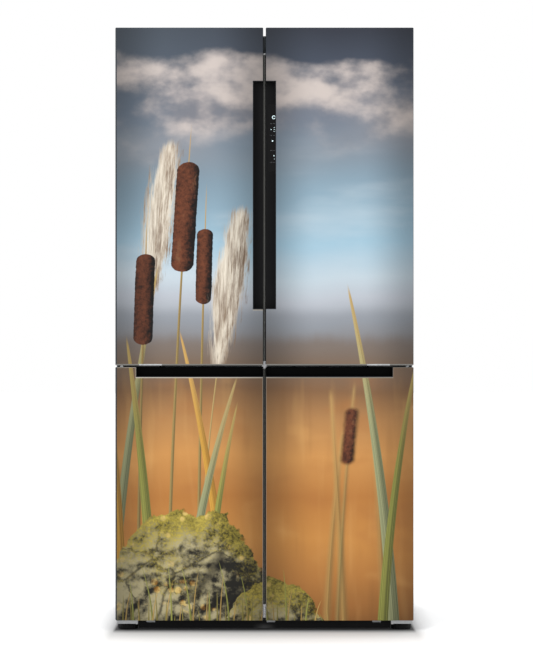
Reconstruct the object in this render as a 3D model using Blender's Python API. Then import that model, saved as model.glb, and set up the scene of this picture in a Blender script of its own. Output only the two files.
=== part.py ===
"""A free-standing four-door fridge-freezer: two tall doors over two shorter ones.

Metres, +Z up. The fridge stands on z = 0 and faces -Y. The origin is on the floor,
under the middle of its width and depth. Left and right are as seen from the front.
"""

import math

import bpy
from mathutils import Vector

# Driving dimensions of the whole appliance.
WIDTH = 0.905
HEIGHT = 1.830
DEPTH = 0.731
DOOR_THICKNESS = 0.062
SEAL_GAP = 0.012  # from a door's back to the cabinet, filled by the gasket
DOOR_GAP = 0.008  # between the left and the right doors
SPLIT_HEIGHT = 0.802  # the middle of the gap between upper and lower doors
SPLIT_GAP = 0.005
DOOR_BOTTOM = 0.032
FIT = 0.0003  # air between two pieces that touch

# Cabinet walls: steel skin, foam and plastic liner, taken as one thickness.
SIDE_WALL = 0.052
TOP_WALL = 0.055
BACK_WALL = 0.060
BACK_RECESS = 0.006  # the rear panels lie this far inside the side walls' rear edges
FLOOR_WALL = 0.055
DIVIDER = 0.060  # between fridge and freezer
PARTITION = 0.064  # between the two freezer halves
POST_DEPTH = 0.030
LINER = 0.0025
TOP_STEP = 0.018  # the cabinet top lies this far below the door tops
CABINET_BOTTOM = 0.040
MACHINE_BAY = (0.1855, 0.230)  # depth and height of the compressor's space

# Places worked out from those.
FRONT = -DEPTH / 2
BACK = DEPTH / 2
REAR_PANEL = BACK - BACK_RECESS
DOOR_BACK = FRONT + DOOR_THICKNESS
CABINET_FRONT = DOOR_BACK + SEAL_GAP
CABINET_TOP = HEIGHT - TOP_STEP
OUTER = WIDTH / 2
INNER = OUTER - SIDE_WALL
POST_HALF = 0.030
DIVIDER_LOW = SPLIT_HEIGHT - DIVIDER / 2
DIVIDER_HIGH = SPLIT_HEIGHT + DIVIDER / 2
FRIDGE_TOP = CABINET_TOP - TOP_WALL
FRIDGE_BACK = BACK - BACK_WALL
FREEZER_FLOOR = CABINET_BOTTOM + FLOOR_WALL
FRIDGE_LINER_FLOOR = DIVIDER_HIGH + FIT + LINER
FREEZER_LINER_FLOOR = FREEZER_FLOOR + FIT + LINER
FREEZER_BACK = BACK - MACHINE_BAY[0]
BAY_TOP = CABINET_BOTTOM + MACHINE_BAY[1]

# Doors: the hinge line, and how far the gasket lies in from each door edge.
HINGE_X = OUTER - 0.020
HINGE_Y = FRONT + 0.030
UPPER_DOOR = (SPLIT_HEIGHT + SPLIT_GAP / 2, HEIGHT)
LOWER_DOOR = (DOOR_BOTTOM, SPLIT_HEIGHT - SPLIT_GAP / 2)
GASKET_WIDTH = 0.014
GASKET_X = (0.010, HINGE_X - 0.001)
UPPER_GASKET = (UPPER_DOOR[0] + 0.010, FRIDGE_TOP + 0.034)
LOWER_GASKET = (FREEZER_FLOOR - 0.033, LOWER_DOOR[1] - 0.010)

# Finger recesses, cut into the free edge of an upper and the top edge of a lower door.
UPPER_GRIP_OPENING = 0.0305
UPPER_GRIP = (0.976, 1.668)
LOWER_GRIP_OPENING = 0.0288
LOWER_GRIP_END = 0.3895
RECESS_DEPTH = 0.034
HOOK_START = 0.011  # how far behind the face the undercut for the fingertips begins
HOOK_REACH = 0.020
GRIP_WALL = 0.0018

# Hinges.
PIN_RADIUS = 0.005
PIN_PLAY = 0.0005
PIN_LENGTH = 0.015
ARM_HALF = 0.013
ARM_ANGLE = math.radians(60)
COVER_RIM = 0.002
POCKET_FLOOR = CABINET_TOP - 0.002
PLATE = 0.005
BRACKET = (0.0165, 0.0475)  # the bottom bracket's reach outboard and inboard of the hinge line
BRACKET_DROP = 0.0022  # from the lower doors down to it

# Shelves, drawers and door bins.
SHELF_TOPS = (1.055, 1.225, 1.400, 1.575)  # the lowest roofs the crispers
SHELF_FRONT = -0.130
SHELF_GLASS = 0.004
SHELF_TRIM = (0.012, 0.014)  # width and height of a shelf's front and back trims
SHELF_SIDE_GAP = 0.0027
LEDGE = (0.012, 0.008)  # how far a ledge stands out of the liner, and its height
DUCT_DEPTH = 0.030
CRISPER_TOP = 1.034
DRAWER_WALL = 0.003
DRAWER_BOARD = 0.010
BIN_HEIGHTS = ((0.876, 1.002), (1.165, 1.275), (1.462, 1.572))
BIN_WALL = 0.0025
BIN_DEPTH = 0.125
DYKE_WIDTH = 0.025
UPPER_DYKE = (0.070, 0.386)
FREEZER_DRAWERS = ((FREEZER_LINER_FLOOR + FIT, 0.312), (0.332, 0.534), (0.554, 0.748))

ROUND = 24  # sides of a round piece
ROLLER_RADIUS = 0.0165
ROLLER_WIDTH = 0.022
AXLE_RADIUS = 0.0035
ROLLER_HEIGHT = ROLLER_RADIUS * math.cos(math.pi / ROUND)  # its lowest flat is on the floor
ROLLER_AT = (0.405, 0.300)
FOOT_AT = (0.417, HINGE_Y + 0.033)
FOOT_RADIUS = 0.030
INLET = (0.0165, 0.0130)  # half the width and height of the power inlet
INLET_AT = (-0.345, 0.095)


def clear_scene():
    for obj in list(bpy.data.objects):
        bpy.data.objects.remove(obj, do_unlink=True)


def finish(name, colour, roughness, metallic=0.0, alpha=1.0):
    """A Principled material."""
    material = bpy.data.materials.new(name)
    material.use_nodes = True
    shader = material.node_tree.nodes["Principled BSDF"]
    shader.inputs["Base Color"].default_value = (*colour, 1.0)
    shader.inputs["Roughness"].default_value = roughness
    shader.inputs["Metallic"].default_value = metallic
    shader.inputs["Alpha"].default_value = alpha
    return material


def add(name, verts, faces, material, parent=None):
    """A named object from points in the fridge's frame, with its origin at its middle."""
    low = Vector([min(v[i] for v in verts) for i in range(3)])
    high = Vector([max(v[i] for v in verts) for i in range(3)])
    middle = (low + high) / 2
    mesh = bpy.data.meshes.new(name)
    mesh.from_pydata([Vector(v) - middle for v in verts], [], faces)
    mesh.materials.append(material)
    obj = bpy.data.objects.new(name, mesh)
    bpy.context.scene.collection.objects.link(obj)
    obj.location = middle
    if parent is not None:
        obj.parent = parent
        obj.location = middle - parent.location
    return obj


def box(name, low, high, material, parent=None, bevel=0.0, segments=1):
    """A box between two corners, its edges rounded if a bevel is given."""
    low, high = [min(p) for p in zip(low, high)], [max(p) for p in zip(low, high)]
    corners = [(x, y, z) for z in (low[2], high[2]) for y in (low[1], high[1]) for x in (low[0], high[0])]
    faces = [(0, 2, 3, 1), (4, 5, 7, 6), (0, 1, 5, 4), (2, 6, 7, 3), (0, 4, 6, 2), (1, 3, 7, 5)]
    obj = add(name, corners, faces, material, parent)
    if bevel:
        rounding = obj.modifiers.new("edges", "BEVEL")
        rounding.width = bevel
        rounding.segments = segments
    return obj


def prism(name, outline, axis, start, end, material, parent=None):
    """An outline extruded along an axis. Its points hold the other two coordinates, in x, y, z order."""
    area = sum(a[0] * b[1] - b[0] * a[1] for a, b in zip(outline, outline[1:] + outline[:1]))
    turn = 1 if axis in "xz" else -1  # (x, z) is a left-handed pair about y
    points = outline if area * turn > 0 else outline[::-1]
    start, end = min(start, end), max(start, end)
    place = {
        "x": lambda p, t: (t, p[0], p[1]),
        "y": lambda p, t: (p[0], t, p[1]),
        "z": lambda p, t: (p[0], p[1], t),
    }[axis]
    count = len(points)
    verts = [place(p, start) for p in points] + [place(p, end) for p in points]
    faces = [tuple(range(count))[::-1], tuple(range(count, 2 * count))]
    faces += [(i, (i + 1) % count, count + (i + 1) % count, count + i) for i in range(count)]
    return add(name, verts, faces, material, parent)


def turned(name, profile, centre, axis, material, parent=None, hollow=False):
    """A profile of (radius, height) points turned about an axis through a centre.

    A solid piece's profile runs from its bottom to its top face. A hollow one's is a closed loop,
    bore first from the top down, then the outside from the bottom up.
    """
    rings = len(profile)
    verts = []
    for radius, height in profile:
        for step in range(ROUND):
            angle = 2 * math.pi * (step + 0.5) / ROUND  # so that a flat, not a corner, is lowest
            across, along = radius * math.cos(angle), radius * math.sin(angle)
            offset = (across, along, height) if axis == "z" else (height, across, along)
            verts.append(Vector(centre) + Vector(offset))
    faces = []
    for ring in range(rings if hollow else rings - 1):
        a, b = ring * ROUND, ((ring + 1) % rings) * ROUND
        for step in range(ROUND):
            n = (step + 1) % ROUND
            faces.append((a + step, a + n, b + n, b + step))
    if not hollow:
        faces.append(tuple(range(ROUND))[::-1])
        faces.append(tuple(range((rings - 1) * ROUND, rings * ROUND)))
    obj = add(name, verts, faces, material, parent)
    obj.data.shade_smooth()
    obj.data.set_sharp_from_angle(angle=math.radians(40))
    return obj


def combine(obj, tool, operation):
    """A Boolean with a hidden helper object."""
    tool.hide_render = True
    tool.display_type = "WIRE"
    boolean = obj.modifiers.new(tool.name, "BOOLEAN")
    boolean.operation = operation
    boolean.object = tool
    return obj


def cut(obj, tool):
    return combine(obj, tool, "DIFFERENCE")


def join(obj, tool):
    return combine(obj, tool, "UNION")


def tub(name, low, high, wall, corner, opening, material, parent=None):
    """An open box with one wall thickness and rounded corners. opening is "top" or "front"."""
    low, high = [min(p) for p in zip(low, high)], [max(p) for p in zip(low, high)]
    obj = box(name, low, high, material, parent)
    mesh = obj.data
    lost = 1 if opening == "top" else 2  # the face of box() that is left out
    verts = [v.co.copy() for v in mesh.vertices]
    faces = [tuple(p.vertices) for p in mesh.polygons if p.index != lost]
    mesh.clear_geometry()
    mesh.from_pydata(verts, [], faces)
    rounding = obj.modifiers.new("corners", "BEVEL")
    rounding.width = corner
    rounding.segments = 3
    shell = obj.modifiers.new("wall", "SOLIDIFY")
    shell.thickness = wall
    shell.offset = -1.0
    shell.use_even_offset = True
    return obj


def side_name(side):
    return "left" if side < 0 else "right"


# Cabinet ------------------------------------------------------------------------------------


def cabinet_walls(steel, foam):
    """The insulated walls, each one slab, meeting with FIT between them."""
    for side in (-1, 1):
        low = (side * (INNER + FIT), CABINET_FRONT, CABINET_BOTTOM)
        high = (side * OUTER, BACK, CABINET_TOP)
        box(f"cabinet_side_{side_name(side)}", low, high, steel, bevel=0.003, segments=2)
    outline = [
        (CABINET_FRONT, FRIDGE_TOP), (FRIDGE_BACK, FRIDGE_TOP), (FRIDGE_BACK, BAY_TOP),
        (REAR_PANEL, BAY_TOP), (REAR_PANEL, CABINET_TOP), (CABINET_FRONT, CABINET_TOP),
    ]
    prism("cabinet_top_back", outline, "x", -INNER, INNER, steel)
    box("cabinet_divider", (-INNER, CABINET_FRONT, DIVIDER_LOW),
        (INNER, FRIDGE_BACK - FIT, DIVIDER_HIGH), foam, bevel=0.0015)
    post_low = DIVIDER_HIGH + 2 * FIT + LINER
    post_high = FRIDGE_TOP - 2 * FIT - LINER
    box("centre_post", (-POST_HALF, CABINET_FRONT, post_low),
        (POST_HALF, CABINET_FRONT + POST_DEPTH, post_high), steel, bevel=0.003, segments=2)


def freezer_shell(foam):
    """The freezer's floor, back and partition in one foamed piece, stepped over the compressor's space."""
    wall = 0.035
    outline = [
        (CABINET_FRONT, CABINET_BOTTOM),
        (FREEZER_BACK + wall, CABINET_BOTTOM),
        (FREEZER_BACK + wall, BAY_TOP),
        (FRIDGE_BACK - FIT, BAY_TOP),
        (FRIDGE_BACK - FIT, DIVIDER_LOW - FIT),
        (FREEZER_BACK, DIVIDER_LOW - FIT),
        (FREEZER_BACK, FREEZER_FLOOR),
        (CABINET_FRONT, FREEZER_FLOOR),
    ]
    shell = prism("freezer_shell", outline, "x", -INNER, INNER, foam)
    partition = box("partition", (-PARTITION / 2, CABINET_FRONT, FREEZER_FLOOR - 0.010),
                    (PARTITION / 2, FREEZER_BACK + 0.010, DIVIDER_LOW - FIT), foam)
    return join(shell, partition)


def ledge(liner, name, wall, inward, span_y, top, plastic, reach=LEDGE[0]):
    """A moulded ledge along a liner's side wall, which a shelf or a drawer rests on."""
    low = (wall - inward * LINER / 2, span_y[0], top - LEDGE[1])
    high = (wall + inward * reach, span_y[1], top)
    return join(liner, box(name, low, high, plastic))


def liners(plastic):
    """The moulded white tubs that line the three compartments, open at the front."""
    fridge = tub("liner_fridge", (-INNER + FIT, CABINET_FRONT, DIVIDER_HIGH + FIT),
                 (INNER - FIT, FRIDGE_BACK - FIT, FRIDGE_TOP - FIT), LINER, 0.016, "front", plastic)
    wall = INNER - FIT - LINER
    span = (SHELF_FRONT + 0.030, FRIDGE_BACK - 0.040)
    for side in (-1, 1):
        for number, top in enumerate(SHELF_TOPS):
            ledge(fridge, f"shelf_ledge_{side_name(side)}_{number}", side * wall, -side, span,
                  top - SHELF_TRIM[1] - FIT, plastic)
    span = (CABINET_FRONT + 0.060, FREEZER_BACK - 0.020)
    for side in (-1, 1):
        label = side_name(side)
        liner = tub(f"liner_freezer_{label}",
                    (side * (PARTITION / 2 + FIT), CABINET_FRONT, FREEZER_FLOOR + FIT),
                    (side * (INNER - FIT), FREEZER_BACK - FIT, DIVIDER_LOW - 2 * FIT),
                    LINER, 0.016, "front", plastic)
        near = side * (PARTITION / 2 + FIT + LINER)
        for number, (low, _) in enumerate(FREEZER_DRAWERS[1:]):
            for inward, place in ((side, near), (-side, side * wall)):
                ledge(liner, f"drawer_ledge_{label}_{number}_{inward}", place, inward, span,
                      low - FIT, plastic, reach=0.030)


def machine_cover(steel):
    """The louvred sheet over the compressor's space, with a window for the power inlet."""
    sheet = 0.003
    low = (-INNER + 0.004, REAR_PANEL - sheet, CABINET_BOTTOM + 0.006)
    high = (INNER - 0.004, REAR_PANEL, BAY_TOP - 0.004)
    cover = box("machine_cover", low, high, steel)
    slots, pitch, half_width, half_height = 14, 0.042, 0.0045, 0.028
    for row, centre in enumerate((0.100, 0.205)):
        for slot in range(slots):
            x = (slot - (slots - 1) / 2) * pitch
            tool = box(f"slot_{row}_{slot}", (x - half_width, REAR_PANEL - 0.008, centre - half_height),
                       (x + half_width, REAR_PANEL + 0.005, centre + half_height), steel)
            cut(cover, tool)
    x, z = INLET_AT
    window = box("inlet_window", (x - INLET[0] - FIT, REAR_PANEL - 0.008, z - INLET[1] - FIT),
                 (x + INLET[0] + FIT, REAR_PANEL + 0.005, z + INLET[1] + FIT), steel)
    return cut(cover, window)


def power_inlet(black):
    """A socket for the mains lead, let into the machine cover, with its three pins."""
    x, z = INLET_AT
    half_x, half_z = INLET
    inlet = box("power_inlet", (x - half_x, REAR_PANEL - 0.030, z - half_z),
                (x + half_x, REAR_PANEL + 0.002, z + half_z), black, bevel=0.002)
    rim = 0.004
    well = box("inlet_well", (x - half_x + rim, REAR_PANEL - 0.020, z - half_z + rim),
               (x + half_x - rim, REAR_PANEL + 0.010, z + half_z - rim), black, bevel=0.003)
    cut(inlet, well)
    for number, (dx, dz) in enumerate(((-0.007, -0.002), (0.0, 0.0025), (0.007, -0.002))):
        pin = box(f"inlet_pin_{number}", (x + dx - 0.001, REAR_PANEL - 0.022, z + dz - 0.002),
                  (x + dx + 0.001, REAR_PANEL - 0.006, z + dz + 0.002), black)
        join(inlet, pin)
    return inlet


def base(steel, black):
    """The steel tray under the compressor, with the roller brackets, and the plinth in front."""
    top = CABINET_BOTTOM - FIT
    tray = box("base_tray", (-OUTER + 0.004, FREEZER_BACK + 0.020, top - 0.003),
               (OUTER - 0.004, REAR_PANEL - 0.006, top), steel)
    roller_x, roller_y = ROLLER_AT
    cheek_gap = ROLLER_WIDTH / 2 + 0.001
    for side in (-1, 1):
        for cheek in (-1, 1):
            inner_face = side * roller_x + cheek * cheek_gap
            plate = box(f"bracket_cheek_{side_name(side)}_{cheek}", (inner_face, roller_y - 0.012, 0.009),
                        (inner_face + cheek * 0.003, roller_y + 0.012, top - 0.001), steel)
            join(tray, plate)
        ends = cheek_gap + 0.002
        axle = turned(f"bracket_axle_{side_name(side)}", [(AXLE_RADIUS, -ends), (AXLE_RADIUS, ends)],
                      (side * roller_x, roller_y, ROLLER_HEIGHT), "x", steel)
        join(tray, axle)
    plinth_front, plinth_top, sheet = HINGE_Y + 0.013, DOOR_BOTTOM - 0.0035, 0.003
    outline = [
        (plinth_front, 0.004), (plinth_front + sheet, 0.004), (plinth_front + sheet, plinth_top - sheet),
        (CABINET_FRONT + 0.020, plinth_top - sheet), (CABINET_FRONT + 0.020, CABINET_BOTTOM - FIT),
        (CABINET_FRONT + 0.004, CABINET_BOTTOM - FIT), (CABINET_FRONT + 0.004, plinth_top),
        (plinth_front, plinth_top),
    ]
    half = HINGE_X - BRACKET[1] - 0.001
    prism("plinth", outline, "x", -half, half, black)


def rollers(nylon):
    """Two rear rollers, each turning on its own axle line."""
    roller_x, roller_y = ROLLER_AT
    bore, half, edge = AXLE_RADIUS + 0.0005, ROLLER_WIDTH / 2, 0.002
    loop = [(bore, half), (bore, -half), (ROLLER_RADIUS - edge, -half), (ROLLER_RADIUS, -half + edge),
            (ROLLER_RADIUS, half - edge), (ROLLER_RADIUS - edge, half)]
    for side in (-1, 1):
        centre = (side * roller_x, roller_y, ROLLER_HEIGHT)
        turned(f"roller_{side_name(side)}", loop, centre, "x", nylon, hollow=True)


def feet(black):
    """Levelling feet: a wide pad and a stud up to the hinge bracket."""
    foot_x, foot_y = FOOT_AT
    bracket = DOOR_BOTTOM - BRACKET_DROP - PLATE
    rim, top, stud = FOOT_RADIUS - 0.003, 0.018, 0.010
    profile = [(rim, 0.0), (FOOT_RADIUS, 0.004), (FOOT_RADIUS, top - 0.003), (rim, top), (stud, top),
               (stud, bracket - FIT)]
    for side in (-1, 1):
        turned(f"foot_{side_name(side)}", profile, (side * foot_x, foot_y, 0.0), "z", black)


# Hinges -------------------------------------------------------------------------------------


def arm_outline(side, margin):
    """Plan of a top hinge: a round nose on the hinge line and an arm to the base on the cabinet top."""
    half = ARM_HALF + margin
    along = Vector((math.cos(ARM_ANGLE), math.sin(ARM_ANGLE)))
    left = Vector((-along.y, along.x)) * half
    neck = CABINET_FRONT - HINGE_Y + 0.006 - margin  # where the arm meets the base
    base_low, base_high = 0.006 - margin, 0.088 + margin
    base_end = neck + 0.080 + 2 * margin
    nose = []
    steps = 10
    for step in range(steps + 1):
        angle = ARM_ANGLE + math.pi / 2 + math.pi * step / steps
        nose.append(Vector((math.cos(angle), math.sin(angle))) * half)
    meet_left = left + along * ((neck - left.y) / along.y)
    meet_right = -left + along * ((neck + left.y) / along.y)
    points = nose + [meet_right, Vector((base_high, neck)), Vector((base_high, base_end)),
                     Vector((base_low, base_end)), Vector((base_low, neck)), meet_left]
    return [(side * (HINGE_X - p.x), HINGE_Y + p.y) for p in points]


def top_hinge(side, metal, plastic):
    """A steel arm with a pin, under a plastic cover that follows it out over the door's pocket."""
    label = side_name(side)
    bottom = CABINET_TOP + FIT
    cover = prism(f"hinge_cover_{label}", arm_outline(side, COVER_RIM), "z", bottom, HEIGHT - 0.0015, plastic)
    ceiling = bottom + PLATE + FIT
    room = prism(f"hinge_cover_room_{label}", arm_outline(side, FIT), "z", bottom - 0.005, ceiling, plastic)
    cut(cover, room)
    arm = prism(f"hinge_top_{label}", arm_outline(side, 0.0), "z", bottom, bottom + PLATE, metal)
    pin = turned(f"hinge_top_pin_{label}", [(PIN_RADIUS, -PIN_LENGTH), (PIN_RADIUS, PLATE / 2)],
                 (side * HINGE_X, HINGE_Y, bottom), "z", metal)
    join(arm, pin)


def middle_hinge(side, metal):
    """A plate in the gap between the doors, with a pin up and a pin down, bolted to the cabinet's front."""
    label = side_name(side)
    half = 0.0015
    reach = PLATE + 0.0095
    far = CABINET_FRONT - FIT
    plate = box(f"hinge_middle_{label}", (side * (HINGE_X + reach), HINGE_Y - reach, SPLIT_HEIGHT - half),
                (side * 0.318, far, SPLIT_HEIGHT + half), metal)
    flange = box(f"hinge_middle_flange_{label}",
                 (side * (HINGE_X + reach), far - 0.003, SPLIT_HEIGHT - 0.0115),
                 (side * 0.318, far, SPLIT_HEIGHT + 0.0115), metal)
    pin = turned(f"hinge_middle_pin_{label}", [(PIN_RADIUS, -PIN_LENGTH), (PIN_RADIUS, PIN_LENGTH)],
                 (side * HINGE_X, HINGE_Y, SPLIT_HEIGHT), "z", metal)
    join(join(plate, flange), pin)


def bottom_hinge(side, metal):
    """A bracket under the cabinet that carries the lower door's pin, with a folded lip in front."""
    label = side_name(side)
    top = DOOR_BOTTOM - BRACKET_DROP
    outer, inner = side * (HINGE_X + BRACKET[0]), side * (HINGE_X - BRACKET[1])
    front, back = HINGE_Y - 0.0145, CABINET_FRONT + 0.070
    tongue = box(f"hinge_bottom_{label}", (outer, front, top - PLATE), (inner, back, top), metal)
    lip = box(f"hinge_bottom_lip_{label}", (outer, front, top - 0.0105), (inner, front + 0.003, top), metal)
    riser = box(f"hinge_bottom_riser_{label}", (outer, CABINET_FRONT + 0.006, top - 0.001),
                (inner, back, CABINET_BOTTOM - FIT), metal)
    pin = turned(f"hinge_bottom_pin_{label}", [(PIN_RADIUS, -PLATE / 2), (PIN_RADIUS, PIN_LENGTH)],
                 (side * HINGE_X, HINGE_Y, top), "z", metal)
    return join(join(join(tongue, lip), riser), pin)


# Doors --------------------------------------------------------------------------------------


def hinge_line(level, side):
    """The empty on a door's hinge line, which carries the door and all that is on it."""
    empty = bpy.data.objects.new(f"door_{level}_{side_name(side)}_hinge", None)
    bpy.context.scene.collection.objects.link(empty)
    empty.location = (side * HINGE_X, HINGE_Y, 0.0)
    return empty


def recess_outline(opening, start, margin):
    """Section of a finger recess as (u, v): u runs in from the door's edge, v back from its face."""
    lip = opening - margin
    roof = HOOK_START + margin
    far = opening + HOOK_REACH - margin
    floor = RECESS_DEPTH - margin
    return [(start, start), (lip, start), (lip, roof), (far, roof), (far, floor), (start, floor)]


def upper_recess(name, side, start, margin, ends, material, parent):
    """The recess section run up an upper door's free edge."""
    outline = [(side * (DOOR_GAP / 2 + u), FRONT + v)
               for u, v in recess_outline(UPPER_GRIP_OPENING, start, margin)]
    return prism(name, outline, "z", UPPER_GRIP[0] + ends, UPPER_GRIP[1] - ends, material, parent)


def lower_recess(name, side, start, margin, ends, material, parent):
    """The recess section run along a lower door's top edge."""
    outline = [(FRONT + v, LOWER_DOOR[1] - u)
               for u, v in recess_outline(LOWER_GRIP_OPENING, start, margin)]
    start_x, end_x = side * (DOOR_GAP / 2 + ends), side * (LOWER_GRIP_END - ends)
    return prism(name, outline, "x", start_x, end_x, material, parent)


def pin_bore(name, side, low, high, material, parent):
    """A cutter for the bore that a hinge pin turns in."""
    radius = PIN_RADIUS + PIN_PLAY
    centre = (side * HINGE_X, HINGE_Y, 0.0)
    return turned(name, [(radius, low), (radius, high)], centre, "z", material, parent)


def door_body(level, side, span, recess, steel, parent):
    """The foamed slab of a door, with its recess and the bores for its hinge pins."""
    label = f"{level}_{side_name(side)}"
    body = box(f"door_{label}", (side * DOOR_GAP / 2, FRONT, span[0]), (side * OUTER, DOOR_BACK, span[1]),
               steel, parent, bevel=0.0025, segments=2)
    cut(body, recess(f"recess_cut_{label}", side, -0.001, 0.0, 0.0, steel, parent))
    depth = PIN_LENGTH + 0.003
    cut(body, pin_bore(f"bore_low_{label}", side, span[0] - 0.002, span[0] + depth, steel, parent))
    if level == "upper":
        pocket_front = HINGE_Y - ARM_HALF - COVER_RIM - 0.0015
        pocket = box(f"hinge_pocket_{label}", (side * (OUTER + 0.01), pocket_front, POCKET_FLOOR),
                     (side * (HINGE_X - 0.042), DOOR_BACK + 0.01, HEIGHT + 0.01), steel, parent)
        cut(body, pocket)
        low, high = POCKET_FLOOR - depth, POCKET_FLOOR + 0.002
        cut(body, pin_bore(f"bore_top_{label}", side, low, high, steel, parent))
    else:
        cut(body, pin_bore(f"bore_top_{label}", side, span[1] - depth, span[1] + 0.002, steel, parent))
    return body


def door_grip(level, side, recess, black, parent):
    """The black plastic channel that lines a finger recess."""
    label = f"{level}_{side_name(side)}"
    grip = recess(f"grip_{label}", side, 0.0, FIT, FIT, black, parent)
    wall = FIT + GRIP_WALL
    return cut(grip, recess(f"finger_room_{label}", side, -0.01, wall, wall, black, parent))


def door_gasket(level, side, span, rubber, parent):
    """The soft magnetic seal, a closed ring between a door and the cabinet's front."""
    label = f"{level}_{side_name(side)}"
    low = (side * GASKET_X[0], DOOR_BACK + FIT, span[0])
    high = (side * GASKET_X[1], CABINET_FRONT - FIT, span[1])
    ring = box(f"gasket_{label}", low, high, rubber, parent)
    width = GASKET_WIDTH
    hole = box(f"gasket_hole_{label}", (side * (GASKET_X[0] + width), DOOR_BACK - 0.01, span[0] + width),
               (side * (GASKET_X[1] - width), CABINET_FRONT + 0.01, span[1] - width), rubber, parent)
    return cut(ring, hole)


def door_liner(level, side, gasket_span, dyke_x, dyke_span, depth, plastic, parent):
    """The white inner panel: a flange inside the gasket and a raised ring around a shallow pan."""
    label = f"{level}_{side_name(side)}"
    gap = GASKET_WIDTH + 0.0005
    flange_back = DOOR_BACK + 0.0035
    panel = box(f"door_liner_{label}", (side * (GASKET_X[0] + gap), DOOR_BACK + FIT, gasket_span[0] + gap),
                (side * (GASKET_X[1] - gap), flange_back, gasket_span[1] - gap), plastic, parent)
    dyke = box(f"dyke_{label}", (side * dyke_x[0], DOOR_BACK + 0.001, dyke_span[0]),
               (side * dyke_x[1], DOOR_BACK + depth, dyke_span[1]), plastic, parent, bevel=0.006, segments=2)
    pan_back = DOOR_BACK + depth + 0.02
    pan = box(f"pan_{label}", (side * (dyke_x[0] + DYKE_WIDTH), flange_back, dyke_span[0] + DYKE_WIDTH),
              (side * (dyke_x[1] - DYKE_WIDTH), pan_back, dyke_span[1] - DYKE_WIDTH), plastic, parent)
    return cut(join(panel, dyke), pan)


def upper_door(side, steel, black, rubber, white, clear):
    parent = hinge_line("upper", side)
    door_body("upper", side, UPPER_DOOR, upper_recess, steel, parent)
    door_grip("upper", side, upper_recess, black, parent)
    door_gasket("upper", side, UPPER_GASKET, rubber, parent)
    dyke_span = (0.850, 1.735)
    door_liner("upper", side, UPPER_GASKET, UPPER_DYKE, dyke_span, 0.044, white, parent)
    bin_x = (UPPER_DYKE[0] + DYKE_WIDTH + FIT, UPPER_DYKE[1] - DYKE_WIDTH - FIT)
    for number, (low, high) in enumerate(BIN_HEIGHTS, start=1):
        tub(f"bin_{side_name(side)}_{number}", (side * bin_x[0], DOOR_BACK + 0.0045, low),
            (side * bin_x[1], DOOR_BACK + BIN_DEPTH, high), BIN_WALL, 0.008, "top", clear, parent)


def lower_door(side, steel, black, rubber, white):
    parent = hinge_line("lower", side)
    door_body("lower", side, LOWER_DOOR, lower_recess, steel, parent)
    door_grip("lower", side, lower_recess, black, parent)
    door_gasket("lower", side, LOWER_GASKET, rubber, parent)
    door_liner("lower", side, LOWER_GASKET, (0.055, 0.386), (0.112, 0.757), 0.026, white, parent)


# Inside the compartments --------------------------------------------------------------------


def shelf(name, top, back, glass):
    """A glass shelf whose front and back edges lie in deeper trims, as one section run across."""
    trim, drop = SHELF_TRIM
    front = SHELF_FRONT
    outline = [
        (front, top - drop), (front + trim, top - drop), (front + trim, top - SHELF_GLASS),
        (back - trim, top - SHELF_GLASS), (back - trim, top - drop), (back, top - drop),
        (back, top), (front, top),
    ]
    half = INNER - FIT - LINER - SHELF_SIDE_GAP
    return prism(name, outline, "x", -half, half, glass)


def fridge_inside(glass, clear, white):
    """Shelves, the air duct on the back wall, and the two crispers under the lowest shelf."""
    liner_back = FRIDGE_BACK - FIT - LINER
    duct_front = liner_back - FIT - DUCT_DEPTH
    box("air_duct", (-0.105, duct_front, SHELF_TOPS[0] + 0.010), (0.105, liner_back - FIT, 1.700), white,
        bevel=0.006, segments=2)
    shelf("crisper_shelf", SHELF_TOPS[0], liner_back - 0.018, glass)
    for number, top in enumerate(SHELF_TOPS[1:], start=1):
        shelf(f"shelf_{number}", top, duct_front - 0.003, glass)
    for side in (-1, 1):
        drawer(f"crisper_{side_name(side)}", side, (0.012, 0.380), (SHELF_FRONT - 0.018, 0.262),
               (FRIDGE_LINER_FLOOR + FIT, CRISPER_TOP), clear)


def drawer(name, side, across, along, span, clear):
    """An open drawer with a thicker, taller front board."""
    body = tub(name, (side * across[0], along[0] + 0.002, span[0]),
               (side * across[1], along[1], span[1] - 0.012), DRAWER_WALL, 0.012, "top", clear)
    front = box(f"{name}_board", (side * (across[0] - 0.002), along[0], span[0]),
                (side * (across[1] + 0.002), along[0] + DRAWER_BOARD, span[1]), clear, bevel=0.002)
    return join(body, front)


def freezer_inside(clear):
    """Three drawers in each freezer half."""
    middle = (PARTITION / 2 + INNER) / 2
    half = 0.165
    for side in (-1, 1):
        for number, span in enumerate(FREEZER_DRAWERS, start=1):
            drawer(f"freezer_drawer_{side_name(side)}_{number}", side, (middle - half, middle + half),
                   (CABINET_FRONT + 0.026, FREEZER_BACK - 0.016), span, clear)


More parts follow.
